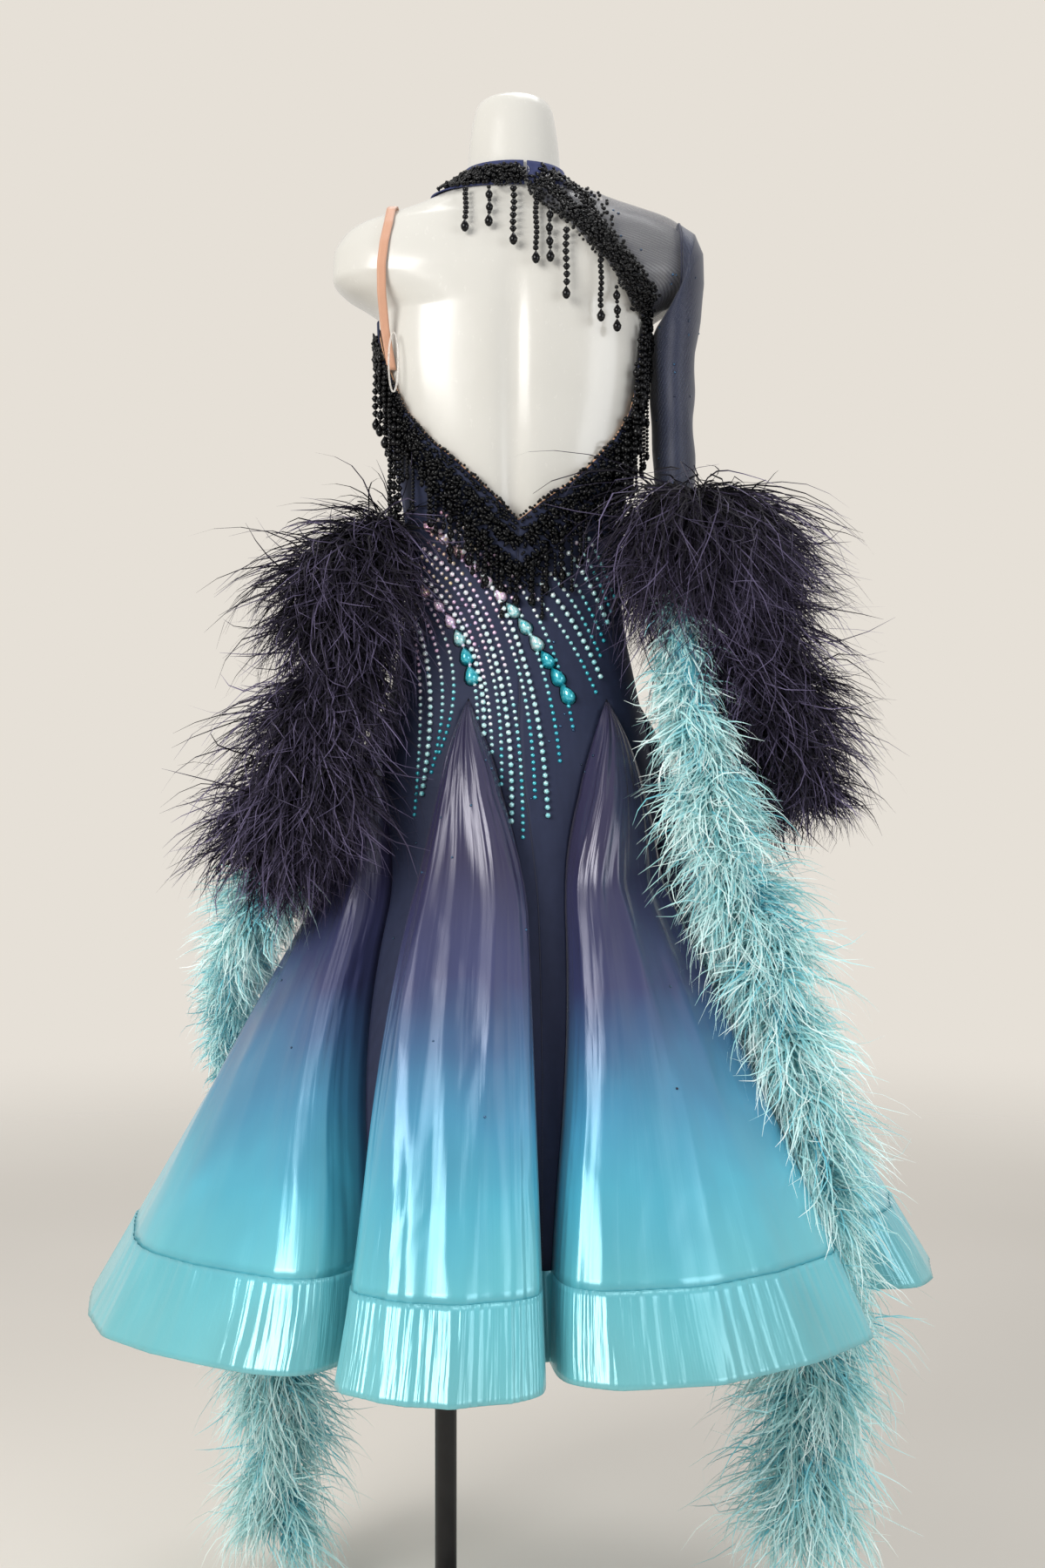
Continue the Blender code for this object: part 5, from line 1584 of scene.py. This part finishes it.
def make_barbs(roots, ways, lengths, droop, curl):
    """Corners, triangles and shades of barbs, each an arc that turns by droop, in radians, from its way."""
    owner = np.repeat(np.arange(len(roots)), BARBS)
    count = len(owner)
    way = ways[owner] + LOOSENESS * random_ways(count) + HANG * DOWN
    way[:, 2] = np.minimum(way[:, 2], MOST_UP)
    way = unit(way)
    reach = lengths[owner] * rng.uniform(*BARB_REACH, count)
    pull = DOWN + curl * random_ways(len(roots))[owner] + BARB_CURL * random_ways(count)
    bend = unit(pull - way * np.sum(pull * way, axis=1, keepdims=True))
    turn = droop * rng.uniform(*LOCK_TURN, len(roots))[owner] * rng.uniform(*BARB_TURN, count)
    angle = (turn[:, None] * ((np.arange(LENGTHS) + 0.5) / LENGTHS) ** ARC_GROWTH)[..., None]
    step = (np.cos(angle) * way[:, None] + np.sin(angle) * bend[:, None]) / LENGTHS
    line = np.concatenate([np.zeros((count, 1, 3)), np.cumsum(step, axis=1)], axis=1)
    t = np.linspace(0, 1, LENGTHS + 1)[None, :, None]
    wave = np.cross(way, bend) * rng.uniform(-WAVE, WAVE, (count, 1))
    line = line + wave[:, None] * np.sin(np.pi * WAVES * t)
    start = roots[owner] + rng.normal(0, ROOT_SPREAD, (count, 3))
    free = start[:, None] + line * reach[:, None, None]
    push = clear_of_gown(free.reshape(-1, 3), GOWN_ROOM).reshape(free.shape) - free
    kept = np.linalg.norm(push, axis=2).max(axis=1) < MOST_PUSH
    free, push, owner, count = free[kept], push[kept], owner[kept], int(kept.sum())
    middle = clear_of_gown((free + spread_push(push)).reshape(-1, 3), GOWN_ROOM).reshape(free.shape)
    broad = unit(np.cross(way[kept], random_ways(count)))
    corners, faces = STRIP
    station = np.rint(corners[:, 1] * LENGTHS).astype(int)
    points = (middle[:, station] + broad[:, None] * corners[None, :, :1] * BARB_WIDTH).reshape(-1, 3)
    points[:, 2] = np.maximum(points[:, 2], FLOOR_ROOM / 2)
    tone = rng.uniform(-LOCK_TONE, LOCK_TONE, len(roots))[owner] + rng.uniform(-BARB_TONE, BARB_TONE, count)
    # Painted shade at a barb's root, deep in the boa, grows lighter to painted light at its tip
    shade = tone[:, None] + ROOT_PAINTED_SHADE + TIP_PAINTED_LIGHT * corners[None, :, 1]
    return points, numbered(faces, count, len(corners)), np.clip(shade, 0, 1).ravel()


# %% Core and finish of a boa
# The core is coloured with the painted shade deep in a boa, a dark tone on the plume ramp
CORE_RADIUS, CORE_SIDES, CORE_POINTS, CORE_PAINTED_SHADE = 0.013, 10, 40, 0.16
CORE_TIP, CORE_TAPER = 0.25, 12  # the share of the radius left at an end, and how fast it widens


def add_plumes(name, node_name, material, barbs, path):
    """A boa: its barbs, and its core as a tube that narrows at both ends."""
    def radius(v):
        return CORE_RADIUS * np.minimum(1, np.minimum(v, 1 - v) * CORE_TAPER + CORE_TIP)

    grid = tube_grid(path, CORE_SIDES, (0.3, 1.0, 0.1), radius)
    bmesh.ops.remove_doubles(grid, verts=grid.verts[:], dist=SEAM_MERGE)
    work = joined([grid])
    bmesh.ops.recalc_face_normals(work, faces=work.faces[:])
    core = arrays_of(work)
    core_painted_shade = np.full(len(core[0]), CORE_PAINTED_SHADE)
    add_array(name, [barbs[:2], core], material, [node_name], [barbs[2], core_painted_shade], smooth=True)


def feather_finish(name, sheen, ior, *stops):
    material, tree, shader = new_material(name)
    colour_by(tree, shader, corner_shade(tree), *stops)
    set_finish(shader, roughness=0.6, sheen_weight=sheen, sheen_roughness=0.5, ior=ior)
    return material


# The ramps run from painted shade deep in a boa to painted light on the tips of its barbs
NAVY_PLUME = feather_finish("navy_ostrich", 0.04, 1.25, (0.0, "#040406"), (0.35, "#0e0b14"), (0.7, "#252031"),
                            (1.0, "#6a6280"))
TURQUOISE_PLUME = feather_finish("turquoise_ostrich", 0.3, 1.4, (0.0, "#31a5c2"), (0.25, "#7bcfdb"),
                                 (0.55, "#bcebea"), (1.0, "#f2fffc"))
NAVY_DROOP, TURQUOISE_DROOP, BOA_CURL = 1.6, 1.35, 0.7

# %% Boas
# Boas: finish, slot, locks, droop, ways that most locks face at the top and at the end, lengths of the locks
# as (share of the boa, length), points of the core
BOAS = {
    "boa_navy_left": (NAVY_PLUME, "navy_feather", 440, NAVY_DROOP, (0.15, -0.65), (0.1, -0.65), [
        (0, 0.105), (0.15, 0.15), (0.3, 0.158), (0.45, 0.12), (0.6, 0.15), (0.75, 0.168), (0.9, 0.138),
        (1, 0.11)], [
        (-0.1256, -0.02, 1.315), (-0.148, -0.021, 1.319), (-0.188, -0.054, 1.29), (-0.192, -0.072, 1.21),
        (-0.206, -0.084, 1.11), (-0.248, -0.083, 1.02), (-0.264, -0.085, 0.97), (-0.266, -0.085, 0.95)]),
    "boa_turquoise_left": (
        TURQUOISE_PLUME, "turquoise_feather", 504, TURQUOISE_DROOP, (-0.3, -0.3), (-0.1, -0.5), [
        (0, 0.085), (0.1, 0.08), (0.22, 0.052), (0.36, 0.042), (0.48, 0.05), (0.6, 0.105), (0.8, 0.118),
        (1, 0.122)], [
        (-0.266, -0.085, 0.9497), (-0.27, -0.082, 0.925), (-0.318, 0.014, 0.83), (-0.345, 0.11, 0.74),
        (-0.35, 0.19, 0.64), (-0.335, 0.24, 0.57), (-0.318, 0.256, 0.5), (-0.31, 0.256, 0.42),
        (-0.3, 0.252, 0.26), (-0.295, 0.25, 0.085)]),
    "boa_navy_right": (NAVY_PLUME, "navy_feather", 360, NAVY_DROOP, (0.4, -0.6), (0.5, -0.4), [
        (0, 0.155), (0.5, 0.155), (0.8, 0.135), (1, 0.105)], [
        (0.226, -0.01, 1.3305), (0.2265, -0.011, 1.31), (0.245, -0.03, 1.24), (0.268, -0.045, 1.16),
        (0.295, -0.05, 1.08), (0.315, -0.05, 1.02)]),
    "boa_turquoise_right": (
        TURQUOISE_PLUME, "turquoise_feather", 600, TURQUOISE_DROOP, (-0.25, -0.6), (0.1, -0.5), [
        (0, 0.02), (0.08, 0.026), (0.16, 0.058), (0.25, 0.086), (0.4, 0.108), (0.7, 0.112), (0.85, 0.118),
        (1, 0.128)], [
        (0.2055, -0.0495, 1.3305), (0.2053, -0.05, 1.31), (0.184, -0.09, 1.23), (0.19, -0.12, 1.12),
        (0.214, -0.13, 1.0), (0.252, -0.132, 0.9), (0.292, -0.142, 0.76), (0.318, -0.142, 0.62),
        (0.326, -0.142, 0.5), (0.318, -0.142, 0.36), (0.312, -0.142, 0.245)]),
}
TUFT_LOCKS, TUFT_LOOSE, TUFT_WIDE, LOCK_LENGTHS = 6, 0.8, 0.018, (0.75, 1.15)
ALONG_CORE, FACING = 0.8, 0.55  # how far locks turn off the core's line, and towards the ways given


def make_boa(name, finish, slot, locks, droop, top_way, end_way, reach, core):
    tuft = np.arange(locks) // TUFT_LOCKS
    tufts = tuft[-1] + 1
    share = (np.arange(tufts) + rng.uniform(0, 1, tufts))[tuft] / tufts
    share = np.clip(share + rng.normal(0, TUFT_WIDE, locks), 0, 1)
    path = np.array(core)
    facing = np.array((*top_way, 0)) * (1 - share)[:, None] + np.array((*end_way, 0)) * share[:, None]
    ahead, behind = np.minimum(share + 0.02, 1), np.maximum(share - 0.02, 0)
    tangent = unit(along_route(path, ahead) - along_route(path, behind))
    ways = unit(random_ways(tufts)[tuft] + TUFT_LOOSE * random_ways(locks))
    ways = unit(ways - ALONG_CORE * tangent * np.sum(ways * tangent, axis=1, keepdims=True)) + FACING * facing
    lengths = np.interp(share, *zip(*reach)) * rng.uniform(*LOCK_LENGTHS, locks)
    barbs = make_barbs(along_route(path, share), unit(ways), lengths, droop, BOA_CURL)
    add_plumes(name + "_plumes", name, finish, barbs, along_route(path, np.linspace(0, 1, CORE_POINTS)))


for name, row in BOAS.items():
    make_boa(name, *row)

# %% Cuff boa
CUFF_CENTRE, CUFF_HALF = np.array((0.1855, 0.0, 1.345)), (0.0385, 0.057, 0)
CUFF_REACH, CUFF_LOCKS, CUFF_CURL = 118.0, 380, 0.6
CUFF_LENGTHS, BACK_LONGER, MOST_INWARD = (0.125, 0.19), 0.045, -0.35
CUFF_OUT, CUFF_LOOSE, CUFF_HANG = 0.8, 0.7, 0.35  # shares of a lock's way: off the ring, at random, down


def cuff_ring(degrees):
    turns = np.radians(degrees)
    return np.stack([np.cos(turns), np.sin(turns), 0 * turns], axis=1)


def make_cuff():
    flat = cuff_ring(rng.uniform(-CUFF_REACH, CUFF_REACH, CUFF_LOCKS))
    ways = unit(CUFF_OUT * flat + CUFF_LOOSE * random_ways(CUFF_LOCKS) + CUFF_HANG * DOWN)
    ways[:, 0] = np.maximum(ways[:, 0], MOST_INWARD)
    lengths = rng.uniform(*CUFF_LENGTHS, CUFF_LOCKS) + BACK_LONGER * np.maximum(-flat[:, 1], 0)
    barbs = make_barbs(CUFF_CENTRE + flat * CUFF_HALF, ways, lengths, NAVY_DROOP, CUFF_CURL)
    path = CUFF_CENTRE + cuff_ring(np.linspace(-CUFF_REACH, CUFF_REACH, CORE_POINTS)) * CUFF_HALF
    add_plumes("cuff_plumes", "boa_cuff_right", NAVY_PLUME, barbs, path)


make_cuff()

# %% [markdown]
# ## Floor and light
# The gown stands on a pale round floor that fades into the room. A large soft light from the left of the
# camera gives the satin its long highlights, and weaker ones keep the shadows open.

# %% Floor and room
FLOOR_RADIUS, FADE_FROM, FADE_TO = 6.0, 1.5, 5.5


def make_floor():
    work = bmesh.new()
    bmesh.ops.create_circle(work, cap_ends=True, segments=128, radius=FLOOR_RADIUS)
    mesh = to_mesh(work, "floor")
    material, tree, shader = mottled("pale_floor", 0.6, 2.0, (0.3, "#dad5cd"), (0.7, "#e4dfd8"),
                                     roughness=0.9)
    away = node(tree, "ShaderNodeVectorMath", {0: object_point(tree)}, operation="LENGTH").outputs["Value"]
    fade = remap(tree, away, FADE_FROM, FADE_TO, 1.0, 0.0, interpolation_type="SMOOTHSTEP")
    tree.links.new(fade, shader.inputs["Alpha"])
    mesh.materials.append(material)
    floor = bpy.data.objects.new("floor", mesh)
    bpy.context.scene.collection.objects.link(floor)


def make_room():
    """A pale room, lightest at eye level and dimmer overhead and underfoot."""
    world = bpy.data.worlds.new("studio")
    world.use_nodes = True
    tree = world.node_tree
    looking = node(tree, "ShaderNodeTexCoord").outputs["Generated"]
    way = node(tree, "ShaderNodeSeparateXYZ", {"Vector": looking})
    off_level = worked(tree, "ABSOLUTE", way.outputs["Z"])
    seen = ramp(tree, off_level, [(0.42, "#e6e0d7"), (0.75, "#a9a6a2")])
    behind = remap(tree, way.outputs["Y"], -1.0, 1.0, 0.0, 1.0)
    cast = ramp(tree, behind, [(0.15, "#9c9da0"), (0.75, "#e0ddd8")])
    straight = node(tree, "ShaderNodeLightPath").outputs["Is Camera Ray"]
    mixed = node(tree, "ShaderNodeMix", {0: straight, 6: cast, 7: seen}, data_type="RGBA")
    tree.links.new(mixed.outputs[2], tree.nodes["Background"].inputs["Color"])
    tree.nodes["Background"].inputs["Strength"].default_value = 1.0
    bpy.context.scene.world = world


make_floor()
make_room()
print("floor radius", FLOOR_RADIUS)

# %% Lights
# Lights: name, place, what it looks at, size, power, colour
LIGHTS = [
    ("key", (-1.9, -2.3, 2.4), (0, 0, 1.05), 1.6, 88.0, (1.0, 0.98, 0.95)),
    ("fill", (2.4, -1.9, 1.5), (0, 0, 1.0), 1.8, 36.0, (0.95, 0.97, 1.0)),
    ("top", (0.3, 0.3, 3.2), (0, 0, 1.2), 1.2, 18.0, (1.0, 1.0, 1.0)),
]
for name, place, target, size, power, colour in LIGHTS:
    light_data = bpy.data.lights.new(name, "AREA")
    light_data.size, light_data.energy, light_data.color = size, power, colour
    light = bpy.data.objects.new(name, light_data)
    light.location = place
    light.rotation_euler = (Vector(target) - Vector(place)).to_track_quat("-Z", "Y").to_euler()
    bpy.context.scene.collection.objects.link(light)
bpy.context.scene.view_settings.view_transform = "Standard"
print(len(LIGHTS), "lights")
